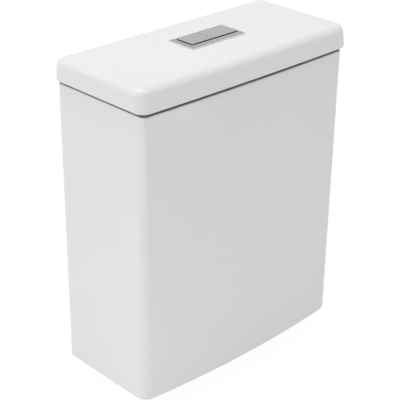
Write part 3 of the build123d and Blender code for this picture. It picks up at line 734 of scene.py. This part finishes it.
def carve(bm: BMesh, cutters: list[BMesh], added: list[BMesh]) -> BMesh:
    """Adds shapes to a solid, then cuts others out of it.

    Args:
        bm: the solid; it is freed.
        cutters: the shapes to take away; they are freed.
        added: the shapes to add first; they are freed.

    Returns:
        What is left.
    """
    meshes = [stored(shape, "cutting") for shape in (bm, *added, *cutters)]
    body = added_object("cutting", meshes[0])
    tools = [added_object("cutter", mesh) for mesh in meshes[1:]]
    for place, tool in enumerate(tools):
        step = body.modifiers.new("cut", "BOOLEAN")
        step.operation = "UNION" if place < len(added) else "DIFFERENCE"
        step.solver = "EXACT"
        step.object = tool
    graph = bpy.context.evaluated_depsgraph_get()
    left = bpy.data.meshes.new_from_object(body.evaluated_get(graph))
    result = bmesh.new()
    result.from_mesh(left)
    for thing in (body, *tools):
        bpy.data.objects.remove(thing)
    for mesh in (*meshes, left):
        bpy.data.meshes.remove(mesh)
    return result


# Placing pieces


@dataclass
class Bench:
    """Holds the frame and the materials, and puts finished pieces on the frame's bodies."""

    frame: dict
    materials: dict[Slot | Accent, Material] = field(default_factory=dict)
    bodies: dict[str, str] = field(default_factory=dict)
    slots: dict[str, Slot] = field(default_factory=dict)
    done: list[str] = field(default_factory=list)

    def prepare(self) -> None:
        """Makes the materials and reads which body and slot each node has."""
        groups = {
            Effect.CLOUDING: clouding_group(),
            Effect.RELIEF: relief_group(),
            Effect.GRAIN: grain_group(),
        }
        self.materials = {finish.slot: finish.material(groups) for finish in FINISHES}
        record = self.frame["record"]
        for body, nodes in record["behaviour"]["bodies"].items():
            self.bodies.update({node: body for node in nodes})
        self.slots = {row["node"]: Slot(row["material_slot"]) for row in record["subparts"]}

    def solid(self, node: str) -> BMesh:
        """A merged copy of a node's own solid.

        Args:
            node: the node's name.

        Returns:
            The copy, in millimetres, with its flat faces whole.
        """
        bm = bmesh.new()
        bm.from_mesh(self.frame["nodes"][node].data)
        bmesh.ops.scale(bm, vec=(1 / MM, 1 / MM, 1 / MM), verts=bm.verts)
        bmesh.ops.remove_doubles(bm, verts=bm.verts, dist=CLOSE)
        flat = math.radians(FLAT_DEGREES)
        bmesh.ops.dissolve_limit(bm, angle_limit=flat, verts=bm.verts, edges=bm.edges)
        return bm

    def place(
        self, bm: BMesh, node: str, smooth: float = 48.0, accents: tuple[Accent, ...] = (),
        chosen: Callable[[BMFace], Accent | None] | None = None,
    ) -> Object:
        """Makes a piece's object, dresses it and sets it on its body in place of its node.

        Args:
            bm: the piece's mesh, in millimetres; it is freed.
            node: the node that the piece stands for.
            smooth: angle in degrees past which an edge stays sharp.
            accents: further finishes, for some of its faces.
            chosen: gives a face's accent, or None for the piece's own finish.

        Returns:
            The new object.
        """
        bmesh.ops.dissolve_degenerate(bm, dist=CLOSE, edges=bm.edges)
        if chosen:
            bm.normal_update()
            for face in bm.faces:
                accent = chosen(face)
                face.material_index = 1 + accents.index(accent) if accent else 0
        bmesh.ops.scale(bm, vec=(MM, MM, MM), verts=bm.verts)
        mesh = stored(bm, f"look_{node}")
        for face in mesh.polygons:
            face.use_smooth = True
        mesh.set_sharp_from_angle(angle=math.radians(smooth))
        piece = added_object(f"look_{node}", mesh)
        slot = self.slots[node]
        mesh.materials.append(self.materials[slot])
        for accent in accents:
            mesh.materials.append(self.materials[accent])
        even = piece.modifiers.new("even_normals", "WEIGHTED_NORMAL")
        even.keep_sharp = True
        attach(piece, self.bodies[node])
        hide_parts(node)
        self.done.append(node)
        LOG.info("%s on %s, %s, %d faces", node, self.bodies[node], slot.value, len(mesh.polygons))
        return piece

    def refine(self, roundings: Roundings) -> None:
        """Places copies of nodes' solids with their sharp edges rounded.

        Args:
            roundings: each node's name and the width of its rounding.
        """
        for node, width in roundings:
            bm = self.solid(node)
            soften(bm, width)
            self.place(bm, node)


# Sub-assemblies


@dataclass
class CeramicTank:
    """The glazed tank with its open top, its floor and the recess in its foot."""

    base: Plan = Plan(357.2, -82.6, 84.4, 9.6)
    rim: Plan = Plan(351.0, -82.5, 84.4, 2.8)
    height: float = 404.3
    base_front_radius: float = 15.0
    rim_front_radius: float = 7.5
    back_radius: float = 6.5
    foot_edge: float = 4.4
    rim_edge: float = 2.5
    clay_shade_rim_share: float = 0.6  # share of the rim's rounding, from its top, where the clay is bare and darkened as painted shade
    wall: float = 10.0
    foot_wall: float = 12.0
    foot_height: float = 10.0
    foot_rounding: float = 2.0
    floor_top: float = 22.0
    floor_rounding: float = 4.0
    inner_radius: float = 7.0
    cut_rounding: float = 1.2
    hollow_overrun: float = 3.0
    recess_overrun: float = 8.0
    drill_overrun: float = 5.0
    drill_top: float = 30.0
    outlet_hole: float = 31.5
    bolt_hole: float = 5.5
    bolt_spacing: float = 150.0
    fill_hole: Triple = (125.0, 20.0, 13.0)

    def level(self, height: float) -> Plan:
        """The outer plan at a height."""
        return self.base.toward(self.rim, height / self.height)

    def drills(self) -> list[BMesh]:
        """Cuts for the holes in the floor: the outlet, the two bolts and the fill valve.

        Returns:
            The shapes to take away.
        """
        holes = (
            (0.0, 0.0, self.outlet_hole), (-self.bolt_spacing / 2, 0.0, self.bolt_hole),
            (self.bolt_spacing / 2, 0.0, self.bolt_hole), self.fill_hole,
        )
        low, high = -self.drill_overrun, self.drill_top
        return [
            turned([(0.0, low), (radius, low), (radius, high), (0.0, high)], x, y)
            for x, y, radius in holes
        ]

    def build(self, bench: Bench) -> None:
        """Builds the tank and places it.

        Args:
            bench: where the piece is placed.
        """
        outer = Shell(
            self.base, self.rim, 0.0, self.height, self.base_front_radius, self.back_radius,
            bottom_edge=self.foot_edge, top_edge=self.rim_edge, high_front_radius=self.rim_front_radius,
        )
        hollow = Shell(
            self.level(self.floor_top).inset(self.wall), self.rim.inset(self.wall), self.floor_top,
            self.height + self.hollow_overrun, self.inner_radius, self.inner_radius,
            bottom_edge=self.floor_rounding,
        )
        recess = Shell(
            self.base.inset(self.foot_wall), self.level(self.foot_height).inset(self.foot_wall),
            -self.recess_overrun, self.foot_height, self.inner_radius, self.inner_radius,
            top_edge=self.foot_rounding, rows=2,
        )
        bm = carve(outer.mesh(), [hollow.mesh(), recess.mesh(), *self.drills()], [])
        soften(bm, self.cut_rounding, steps=3)
        # the rim's top faces get the bare clay, darkened as painted shade under the lid
        clay_shade_level = self.height - self.rim_edge * self.clay_shade_rim_share
        bench.place(
            bm, "tank", accents=(Accent.CLAY,),
            chosen=lambda face: Accent.CLAY if face.calc_center_median().z > clay_shade_level else None,
        )


@dataclass
class CeramicLid:
    """The glazed lid: rounded edges, a lip below and a hole for the flush unit."""

    low: Plan = Plan(364.2, -88.0, 84.2, 2.8)
    high: Plan = Plan(364.2, -83.0, 80.9, 2.8)
    lip: Plan = Plan(324.9, -69.5, 71.4, 2.74)
    hollow: Plan = Plan(312.9, -63.5, 65.4, 2.74)
    bottom: float = 407.7
    top: float = 438.4
    ceiling: float = 428.4
    lip_bottom: float = 400.2
    hole: Triple = (87.2, 36.0, 3.2)
    hole_centre: tuple[float, float] = (9.3, 6.6)
    front_radius: float = 15.0
    back_radius: float = 11.5
    lip_radius: float = 7.0
    low_edge: float = 4.4
    high_edge: float = 8.5
    lip_edge: float = 1.2
    ceiling_edge: float = 4.0
    cut_rounding: float = 0.8
    clay_shade_height: float = 0.8  # height over the lid's bottom up to which the clay is bare and darkened as painted shade
    lip_overrun: float = 4.0
    hollow_overrun: float = 6.0
    mouth_overrun: float = 5.0
    roundings: Roundings = (("lid_pads", 0.4),)

    def build(self, bench: Bench) -> None:
        """Builds the lid with its pads and places them.

        Args:
            bench: where the pieces are placed.
        """
        outer = Shell(
            self.low, self.high, self.bottom, self.top, self.front_radius, self.back_radius,
            bottom_edge=self.low_edge, top_edge=self.high_edge, rows=2,
        )
        lip = Shell(
            self.lip, self.lip, self.lip_bottom, self.bottom + self.lip_overrun, self.lip_radius,
            self.lip_radius, bottom_edge=self.lip_edge, rows=2,
        )
        hollow = Shell(
            self.hollow, self.hollow, self.lip_bottom - self.hollow_overrun, self.ceiling,
            self.lip_radius, self.lip_radius, top_edge=self.ceiling_edge, rows=2,
        )
        mouth = stacked([(*self.hole, self.bottom), (*self.hole, self.top + self.mouth_overrun)], False)
        bm = carve(outer.mesh(), [hollow.mesh(), shifted(mouth, *self.hole_centre)], [lip.mesh()])
        soften(bm, self.cut_rounding)
        # the lid's bottom faces get the bare clay, darkened as painted shade above the rim
        clay_shade_level = self.bottom + self.clay_shade_height
        bench.place(
            bm, "lid", accents=(Accent.CLAY,),
            chosen=lambda face: Accent.CLAY if face.calc_center_median().z < clay_shade_level else None,
        )
        bench.refine(self.roundings)


@dataclass
class FlushUnit:
    """The two-button unit: bezel, buttons, housing below the lid, springs and push rods."""

    x: float = CeramicLid.hole_centre[0]
    y: float = CeramicLid.hole_centre[1]
    lid_top: float = CeramicLid.top
    outer: tuple[float, float] = (94.0, 47.8)
    mouth: tuple[float, float] = (81.2, 30.0)
    edge_height: float = 0.6
    rise: float = 2.4
    rim_width: float = 0.9
    rim_edge: float = 0.06
    mouth_edge: float = 0.08
    mouth_corner: float = 1.0
    corner: float = 1.6
    step_count: int = 3
    step_depth: float = 0.8  # width of the level groove at the foot of a step
    step_drop: float = 0.08
    step_lap: float = 0.1
    groove_depth: float = 0.05
    groove_margin: float = 0.1
    outer_step_share: float = 1 / 3
    flat_normal: float = 0.99
    steep_normal: float = 0.3
    split_x: float = 4.0
    split_gap: float = 0.5
    gap: float = 0.4
    button_rise: float = 4.1
    skirt: float = 11.0
    button_wall: float = 1.6
    button_top: float = 2.4
    button_edge: float = 0.5
    button_edge_steps: int = 4
    inner_corner: float = 0.4
    skirt_edge: float = 0.15
    stem_radius: float = 3.5
    stem_bottom: float = 405.8
    stem_edge: float = 0.4
    stem_sink: float = 0.5  # how far the stem reaches into the cap
    stem_offset: float = 7.5
    pocket_bottom: float = 421.4
    press: float = 5.0
    coil_radius: float = 5.0
    coil_wire: float = 0.45
    coil_turns: int = 6
    coil_clearance: float = 0.05
    roundings: Roundings = (
        ("button_housing", 0.3), ("clamp_cup", 0.5), ("clamp_nut", 0.5), ("half_push_rod", 0.3),
        ("full_push_rod", 0.3), ("half_stem_clip", 0.2), ("full_stem_clip", 0.2),
    )

    def bezel(self) -> BMesh:
        """The frame, whose border slopes up to a narrow rim in fine steps.

        Returns:
            The frame's mesh.
        """
        width, depth = self.outer
        run_x = (width - self.mouth[0]) / 2 - self.rim_width
        run_y = (depth - self.mouth[1]) / 2 - self.rim_width
        rings = [(width, depth, self.corner, self.lid_top)]
        climb = (self.rise - self.edge_height) / self.step_count
        for step in range(self.step_count):
            low, high = step / self.step_count, (step + 1) / self.step_count
            drawn = self.step_depth if step else 0.0
            level = self.lid_top + self.edge_height + step * climb
            if step:
                rings.append((
                    width - 2 * run_x * low, depth - 2 * run_y * low, self.corner,
                    level - self.groove_depth,
                ))
            rings.append((
                width - 2 * (run_x * low + drawn), depth - 2 * (run_y * low + drawn), self.corner, level,
            ))
            if step < self.step_count - 1:
                rings.append((
                    width - 2 * run_x * high + self.step_lap, depth - 2 * run_y * high + self.step_lap,
                    self.corner, level + climb - self.step_drop,
                ))
        rim_x, rim_y = self.mouth[0] + 2 * self.rim_width, self.mouth[1] + 2 * self.rim_width
        edge_x, edge_y = self.mouth[0] + 2 * self.mouth_edge, self.mouth[1] + 2 * self.mouth_edge
        top = self.lid_top + self.rise
        rings += [
            (rim_x, rim_y, self.corner, top - self.rim_edge),
            (rim_x - 2 * self.rim_edge, rim_y - 2 * self.rim_edge, self.corner, top),
            (edge_x, edge_y, self.mouth_corner, top),
            (*self.mouth, self.mouth_corner, top - self.mouth_edge),
            (*self.mouth, self.mouth_corner, self.lid_top),
        ]
        return shifted(stacked(rings, True), self.x, self.y)

    def border_finish(self, face: BMFace) -> Accent:
        """A frame face's finish: lighter steps as painted light, dark grooves and mouth as painted shade.

        Args:
            face: the face.

        Returns:
            Its finish.
        """
        centre = face.calc_center_median()
        width, depth = self.outer
        in_x = (width / 2 - abs(centre.x - self.x)) / (width - self.mouth[0] - 2 * self.rim_width)
        in_y = (depth / 2 - abs(centre.y - self.y)) / (depth - self.mouth[1] - 2 * self.rim_width)
        share = 2 * min(in_x, in_y)
        below_rim = centre.z < self.lid_top + self.rise - self.groove_margin
        # level faces of the grooves and the mouth's walls get painted shade
        groove = face.normal.z > self.flat_normal and below_rim
        if groove or (share > 1 and face.normal.z < self.steep_normal):
            return Accent.GROOVE
        # the steps get lighter chrome as painted light
        return Accent.OUTER_STEP_LIGHT if share < self.outer_step_share else Accent.INNER_STEP_LIGHT

    def button(self, left: float, right: float, stem_x: float) -> BMesh:
        """A hollow cap on its stem.

        Args:
            left: the cap's left side.
            right: the cap's right side.
            stem_x: place of the stem.

        Returns:
            The button's mesh.
        """
        width = right - left
        depth = self.mouth[1] - 2 * self.gap
        top = self.lid_top + self.button_rise
        low = top - self.skirt
        edge = self.button_edge
        inner = (width - 2 * self.button_wall, depth - 2 * self.button_wall, self.inner_corner)
        rings = [
            (*inner, top - self.button_top),
            (*inner, low),
            (width - 2 * self.skirt_edge, depth - 2 * self.skirt_edge, edge, low),
            (width, depth, edge, low + self.skirt_edge),
        ]
        for step in range(self.button_edge_steps + 1):
            turn = math.radians(90 / self.button_edge_steps * step)
            inward = edge * (1 - math.cos(turn))
            rings.append((
                width - 2 * inward, depth - 2 * inward, edge, top - edge + edge * math.sin(turn),
            ))
        bm = shifted(stacked(rings, False), (left + right) / 2, self.y)
        stem_top = top - self.button_top + self.stem_sink
        stem = turned(
            [(0.0, self.stem_bottom), (self.stem_radius - self.stem_edge, self.stem_bottom),
             (self.stem_radius, self.stem_bottom + self.stem_edge), (self.stem_radius, stem_top),
             (0.0, stem_top)],
            stem_x, self.y, steps=40,
        )
        join(bm, stem)
        return bm

    def build(self, bench: Bench) -> None:
        """Builds the unit's pieces and places them.

        Args:
            bench: where the pieces are placed.
        """
        bench.place(
            self.bezel(), "button_bezel", smooth=20.0,
            accents=(Accent.INNER_STEP_LIGHT, Accent.OUTER_STEP_LIGHT, Accent.GROOVE), chosen=self.border_finish,
        )
        left = self.x - self.mouth[0] / 2 + self.gap
        right = self.x + self.mouth[0] / 2 - self.gap
        half = self.split_x - self.split_gap / 2
        full = self.split_x + self.split_gap / 2
        half_stem = self.split_x - self.stem_offset
        full_stem = self.split_x + self.stem_offset
        # faces below the buttons' shoulders get painted shade
        shoulder = self.lid_top + self.button_rise - self.button_edge
        for node, start, end, stem in (
            ("half_flush_button", left, half, half_stem), ("full_flush_button", full, right, full_stem),
        ):
            bench.place(
                self.button(start, end, stem), node, smooth=40.0, accents=(Accent.SIDE,),
                chosen=lambda face: Accent.SIDE if face.calc_center_median().z < shoulder else None,
            )
        bench.refine(self.roundings)
        top = self.lid_top + self.button_rise - self.button_top
        for node, joint, stem in (
            ("half_button_spring", "half_button_press", half_stem),
            ("full_button_spring", "full_button_press", full_stem),
        ):
            coil = wire_coil(
                stem, self.y, self.pocket_bottom + self.coil_clearance, top - self.coil_clearance,
                self.coil_radius, self.coil_wire, self.coil_turns,
            )
            spring = bench.place(coil, node)
            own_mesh(spring)


@dataclass
class FlushValve:
    """The flush valve: threaded base, basket, tower with its levers, tube, seal and floats."""

    bore: float = 25.0
    shank_bottom: float = -26.0
    shank_end_radius: float = 28.4
    shank_thread: Thread = Thread(28.6, 29.8, 2.31, -25.4, 24.0, 64)
    shank_edge_top: float = -25.6
    flange_radius: float = 45.0
    flange_bottom: float = 25.0
    flange_top: float = 29.0
    seat_radius: float = 30.0
    seat_bore: float = 24.0
    seat_bottom: float = 16.0
    seat_top: float = 41.0
    base_rounding: float = 0.3
    roundings: Roundings = (
        ("base_seal", 0.4), ("shank_washer", 0.3), ("shank_backnut", 0.8), ("pan_gasket", 1.2),
        ("valve_cage", 0.5), ("valve_tower", 0.5), ("tower_head", 0.5), ("lever_pin", 0.3),
        ("half_lever", 0.5), ("full_lever", 0.5), ("overflow_tube", 0.4), ("valve_seal", 0.3),
        ("seal_retainer", 0.4), ("full_flush_float", 0.4), ("lift_hanger", 0.5), ("half_float_rod", 0.4),
        ("half_flush_float", 0.4),
    )

    def base(self) -> BMesh:
        """The outlet shank with its thread, the flange and the raised seat.

        Returns:
            The base's mesh.
        """
        shank = self.shank_thread.core
        bm = turned([
            (self.bore, self.shank_bottom), (self.shank_end_radius, self.shank_bottom),
            (shank, self.shank_edge_top), (shank, self.flange_bottom),
            (self.flange_radius, self.flange_bottom), (self.flange_radius, self.flange_top),
            (self.seat_radius, self.flange_top), (self.seat_radius, self.seat_top),
            (self.seat_bore, self.seat_top), (self.seat_bore, self.seat_bottom),
            (self.bore, self.seat_bottom),
        ], steps=96)
        soften(bm, self.base_rounding)
        self.shank_thread.wind(bm)
        return bm

    def build(self, bench: Bench) -> None:
        """Builds the valve's pieces and places them.

        Args:
            bench: where the pieces are placed.
        """
        bench.place(self.base(), "valve_base")
        bench.refine(self.roundings)


@dataclass
class FillValve:
    """The fill valve: body through the floor, float on the riser, arm, cap, pipe and strainer."""

    x: float = CeramicTank.fill_hole[0]
    y: float = CeramicTank.fill_hole[1]
    tail_thread: Thread = Thread(9.75, 10.475, 1.814, -27.6, -4.2, 40)
    tail_top: float = -3.9
    least_radius: float = 10.0  # points farther out than this, below tail_top, move in to the core
    merge_gap: float = 0.02
    body_rounding: float = 0.4
    roundings: Roundings = (
        ("fill_inlet_seal", 0.4), ("fill_washer", 0.3), ("fill_backnut", 0.6), ("inlet_strainer", 0.2),
        ("fill_diaphragm", 0.2), ("fill_cap", 0.6), ("arm_pin", 0.3), ("fill_arm", 0.5),
        ("fill_float", 0.6), ("float_rod", 0.3), ("rod_clips", 0.3), ("fill_pipe", 0.3),
    )

    def body(self, bench: Bench) -> BMesh:
        """The body's solid with a real thread on its tail.

        Args:
            bench: where the solid is copied from.

        Returns:
            The body's mesh.
        """
        bm = bench.solid("fill_valve_body")
        soften(bm, self.body_rounding)
        for vert in bm.verts:
            place = Vector((vert.co.x - self.x, vert.co.y - self.y))
            if vert.co.z < self.tail_top and place.length > self.least_radius:
                place *= self.tail_thread.core / place.length
                vert.co.x, vert.co.y = self.x + place.x, self.y + place.y
        bmesh.ops.remove_doubles(bm, verts=bm.verts, dist=self.merge_gap)
        self.tail_thread.wind(bm, self.x, self.y)
        return bm

    def build(self, bench: Bench) -> None:
        """Builds the valve's pieces and places them.

        Args:
            bench: where the pieces are placed.
        """
        bench.place(self.body(bench), "fill_valve_body")
        bench.refine(self.roundings)


@dataclass
class Coupling:
    """The two bolts with their washers and nuts."""

    spacing: float = CeramicTank.bolt_spacing
    flats: float = 13.0
    tip: float = -30.0
    tip_inset: float = 0.6
    taper: float = 0.8  # length of the tapers at the tip and above the thread
    thread_start: float = 0.9
    head_seat: float = 26.6
    head_height: float = 5.3
    head_rounding: float = 0.4
    core: float = 3.35
    crest: float = 4.0
    neck: float = 3.8
    neck_bottom: float = -15.2
    pitch: float = 1.25
    thread_top: float = 9.0
    thread_steps: int = 24
    roundings: Roundings = (
        ("bolt_seals", 0.4), ("bolt_head_washers", 0.2), ("floor_washers", 0.2), ("floor_nuts", 0.4),
        ("pan_rubber_washers", 0.4), ("pan_steel_washers", 0.2), ("wing_nuts", 0.5),
    )

    def bolt(self, x: float) -> BMesh:
        """One hexagon-headed bolt with its thread.

        Args:
            x: place of the bolt.

        Returns:
            The bolt's mesh.
        """
        bm = turned([
            (0.0, self.tip), (self.core - self.tip_inset, self.tip), (self.core, self.tip + self.taper),
            (self.core, self.thread_top), (self.neck, self.thread_top + self.taper),
            (self.neck, self.head_seat), (0.0, self.head_seat),
        ], x, steps=32)
        for crest, bottom, top in (
            (self.crest, self.tip + self.thread_start, self.neck_bottom),
            (self.neck, self.neck_bottom, self.thread_top),
        ):
            Thread(self.core, crest, self.pitch, bottom, top, self.thread_steps).wind(bm, x)
        head = bmesh.new()
        corner = self.flats / math.sqrt(3)
        middle = Matrix.Translation((x, 0.0, self.head_seat + self.head_height / 2))
        bmesh.ops.create_cone(
            head, cap_ends=True, segments=6, radius1=corner, radius2=corner, depth=self.head_height,
            matrix=middle @ Matrix.Rotation(math.pi / 6, 4, "Z"),
        )
        soften(head, self.head_rounding)
        join(bm, head)
        return bm

    def build(self, bench: Bench) -> None:
        """Builds the bolts and their fittings and places them.

        Args:
            bench: where the pieces are placed.
        """
        bolts = self.bolt(-self.spacing / 2)
        join(bolts, self.bolt(self.spacing / 2))
        bench.place(bolts, "coupling_bolts")
        bench.refine(self.roundings)


# Studio


@dataclass(frozen=True)
class Lamp:
    """A square soft lamp: where it stands, the point that it faces, its side and its power in watts."""

    name: str
    place: Triple
    aim: Triple
    side: float
    power: float

    def light(self) -> None:
        """Adds the lamp to the scene."""
        data = bpy.data.lights.new(self.name, "AREA")
        data.size = self.side
        data.energy = self.power
        lamp = added_object(self.name, data)
        lamp.location = self.place
        facing = Vector(self.aim) - Vector(self.place)
        lamp.rotation_euler = facing.to_track_quat("-Z", "Y").to_euler()


LAMPS = (
    Lamp("left_soft_lamp", (-2.4, 0.6, 1.1), (0.0, 0.0, 0.2), 1.8, 15.6),
    Lamp("top_soft_lamp", (-0.3, 0.2, 2.6), (0.0, 0.0, 0.3), 1.6, 20.6),
    Lamp("front_soft_lamp", (0.45, -1.25, 2.3), (0.0, 0.0, 0.3), 1.2, 9.6),
    Lamp("low_soft_lamp", (-0.62, -0.45, 0.0), (-0.15, -0.05, 0.05), 0.4, 0.58),
    Lamp("low_front_lamp", (0.3, -0.85, 0.0), (0.1, -0.08, 0.05), 0.5, 0.5),
)


@dataclass
class Studio:
    """The camera at the photograph's angle, a pale floor and soft light."""

    camera_place: Triple = (-1.020771, -1.076451, 0.945973)
    yaw: float = 0.753829
    pitch: float = 0.460278
    lens: float = 109.598
    sensor: float = 36.0
    ambient: float = 0.415
    floor_level: float = -0.030
    floor_reach: float = 6.0
    floor_tone: float = 0.9
    floor_light: float = 0.6  # level of the light on the open floor
    shadow_share: float = 0.06  # share of the floor's white that comes from light, and shows shadow

    def camera(self) -> None:
        """Creates the camera and makes it the scene's own."""
        data = bpy.data.cameras.new("photo_camera")
        data.lens = self.lens
        data.sensor_width = self.sensor
        data.clip_start = 0.05
        data.clip_end = 40.0
        camera = added_object("photo_camera", data)
        camera.location = self.camera_place
        camera.rotation_euler = (math.pi / 2 - self.pitch, 0.0, -self.yaw)
        bpy.context.scene.camera = camera

    def seen_directly(self, nodes: Nodes, links: NodeLinks) -> NodeSocket:
        """A mask of the rays that show the background: camera, glossy and transmission rays.

        Args:
            nodes: the tree's nodes.
            links: the tree's links.

        Returns:
            The mask's socket.
        """
        path = nodes.new("ShaderNodeLightPath")
        seen = path.outputs["Is Camera Ray"]
        for kind in ("Is Glossy Ray", "Is Transmission Ray"):
            either = nodes.new("ShaderNodeMath")
            either.operation = "MAXIMUM"
            links.new(seen, either.inputs[0])
            links.new(path.outputs[kind], either.inputs[1])
            seen = either.outputs["Value"]
        return seen

    def world(self) -> None:
        """White to the camera and in reflections, and a plain soft light on the object."""
        world = bpy.data.worlds.new("studio_world")
        bpy.context.scene.world = world
        world.use_nodes = True
        nodes, links = world.node_tree.nodes, world.node_tree.links
        sky = nodes["Background"]
        sky.inputs["Color"].default_value = (1.0, 1.0, 1.0, 1.0)
        level = nodes.new("ShaderNodeMapRange")
        level.inputs["To Min"].default_value = self.ambient
        level.inputs["To Max"].default_value = 1.0
        links.new(self.seen_directly(nodes, links), level.inputs["Value"])
        links.new(level.outputs["Result"], sky.inputs["Strength"])

    def floor_material(self) -> Material:
        """White to the camera but for a soft shadow, plain to the light, and clear from below.

        Returns:
            The floor's material.
        """
        material = bpy.data.materials.new("pale_floor")
        material.use_nodes = True
        nodes, links = material.node_tree.nodes, material.node_tree.links
        nodes.clear()
        out = nodes.new("ShaderNodeOutputMaterial")
        plain, faint = nodes.new("ShaderNodeBsdfDiffuse"), nodes.new("ShaderNodeBsdfDiffuse")
        for diffuse, tone in ((plain, self.floor_tone), (faint, self.shadow_share)):
            diffuse.inputs["Color"].default_value = (tone, tone, tone, 1.0)
        glow = nodes.new("ShaderNodeEmission")
        glow.inputs["Strength"].default_value = 1.0 - self.floor_light * self.shadow_share
        white = nodes.new("ShaderNodeAddShader")
        links.new(faint.outputs["BSDF"], white.inputs[0])
        links.new(glow.outputs["Emission"], white.inputs[1])
        above, both = nodes.new("ShaderNodeMixShader"), nodes.new("ShaderNodeMixShader")
        clear = nodes.new("ShaderNodeBsdfTransparent")
        below = nodes.new("ShaderNodeNewGeometry").outputs["Backfacing"]
        for mix, mask, first, second in (
            (above, self.seen_directly(nodes, links), plain.outputs["BSDF"], white.outputs["Shader"]),
            (both, below, above.outputs["Shader"], clear.outputs["BSDF"]),
        ):
            links.new(mask, mix.inputs["Fac"])
            links.new(first, mix.inputs[1])
            links.new(second, mix.inputs[2])
        links.new(both.outputs["Shader"], out.inputs["Surface"])
        return material

    def floor(self) -> None:
        """A wide plain floor below the cistern."""
        bm = bmesh.new()
        bmesh.ops.create_grid(bm, x_segments=1, y_segments=1, size=self.floor_reach)
        bmesh.ops.translate(bm, vec=(0.0, 0.0, self.floor_level), verts=bm.verts)
        mesh = stored(bm, "studio_floor")
        mesh.materials.append(self.floor_material())
        added_object("studio_floor", mesh)

    def build(self) -> None:
        """Sets up the whole studio."""
        self.camera()
        self.world()
        self.floor()
        for lamp in LAMPS:
            lamp.light()
        bpy.context.scene.view_settings.view_transform = "Standard"


def main() -> None:
    """Builds the cistern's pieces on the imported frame, and the studio round them."""
    logging.basicConfig(level=logging.INFO, format="%(name)s: %(message)s")
    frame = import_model()
    bench = Bench(frame)
    bench.prepare()
    for assembly in (CeramicTank(), CeramicLid(), FlushUnit(), FlushValve(), FillValve(), Coupling()):
        assembly.build(bench)
    Studio().build()
    LOG.info("%d pieces stand for nodes", len(bench.done))


if __name__ == "__main__":
    main()
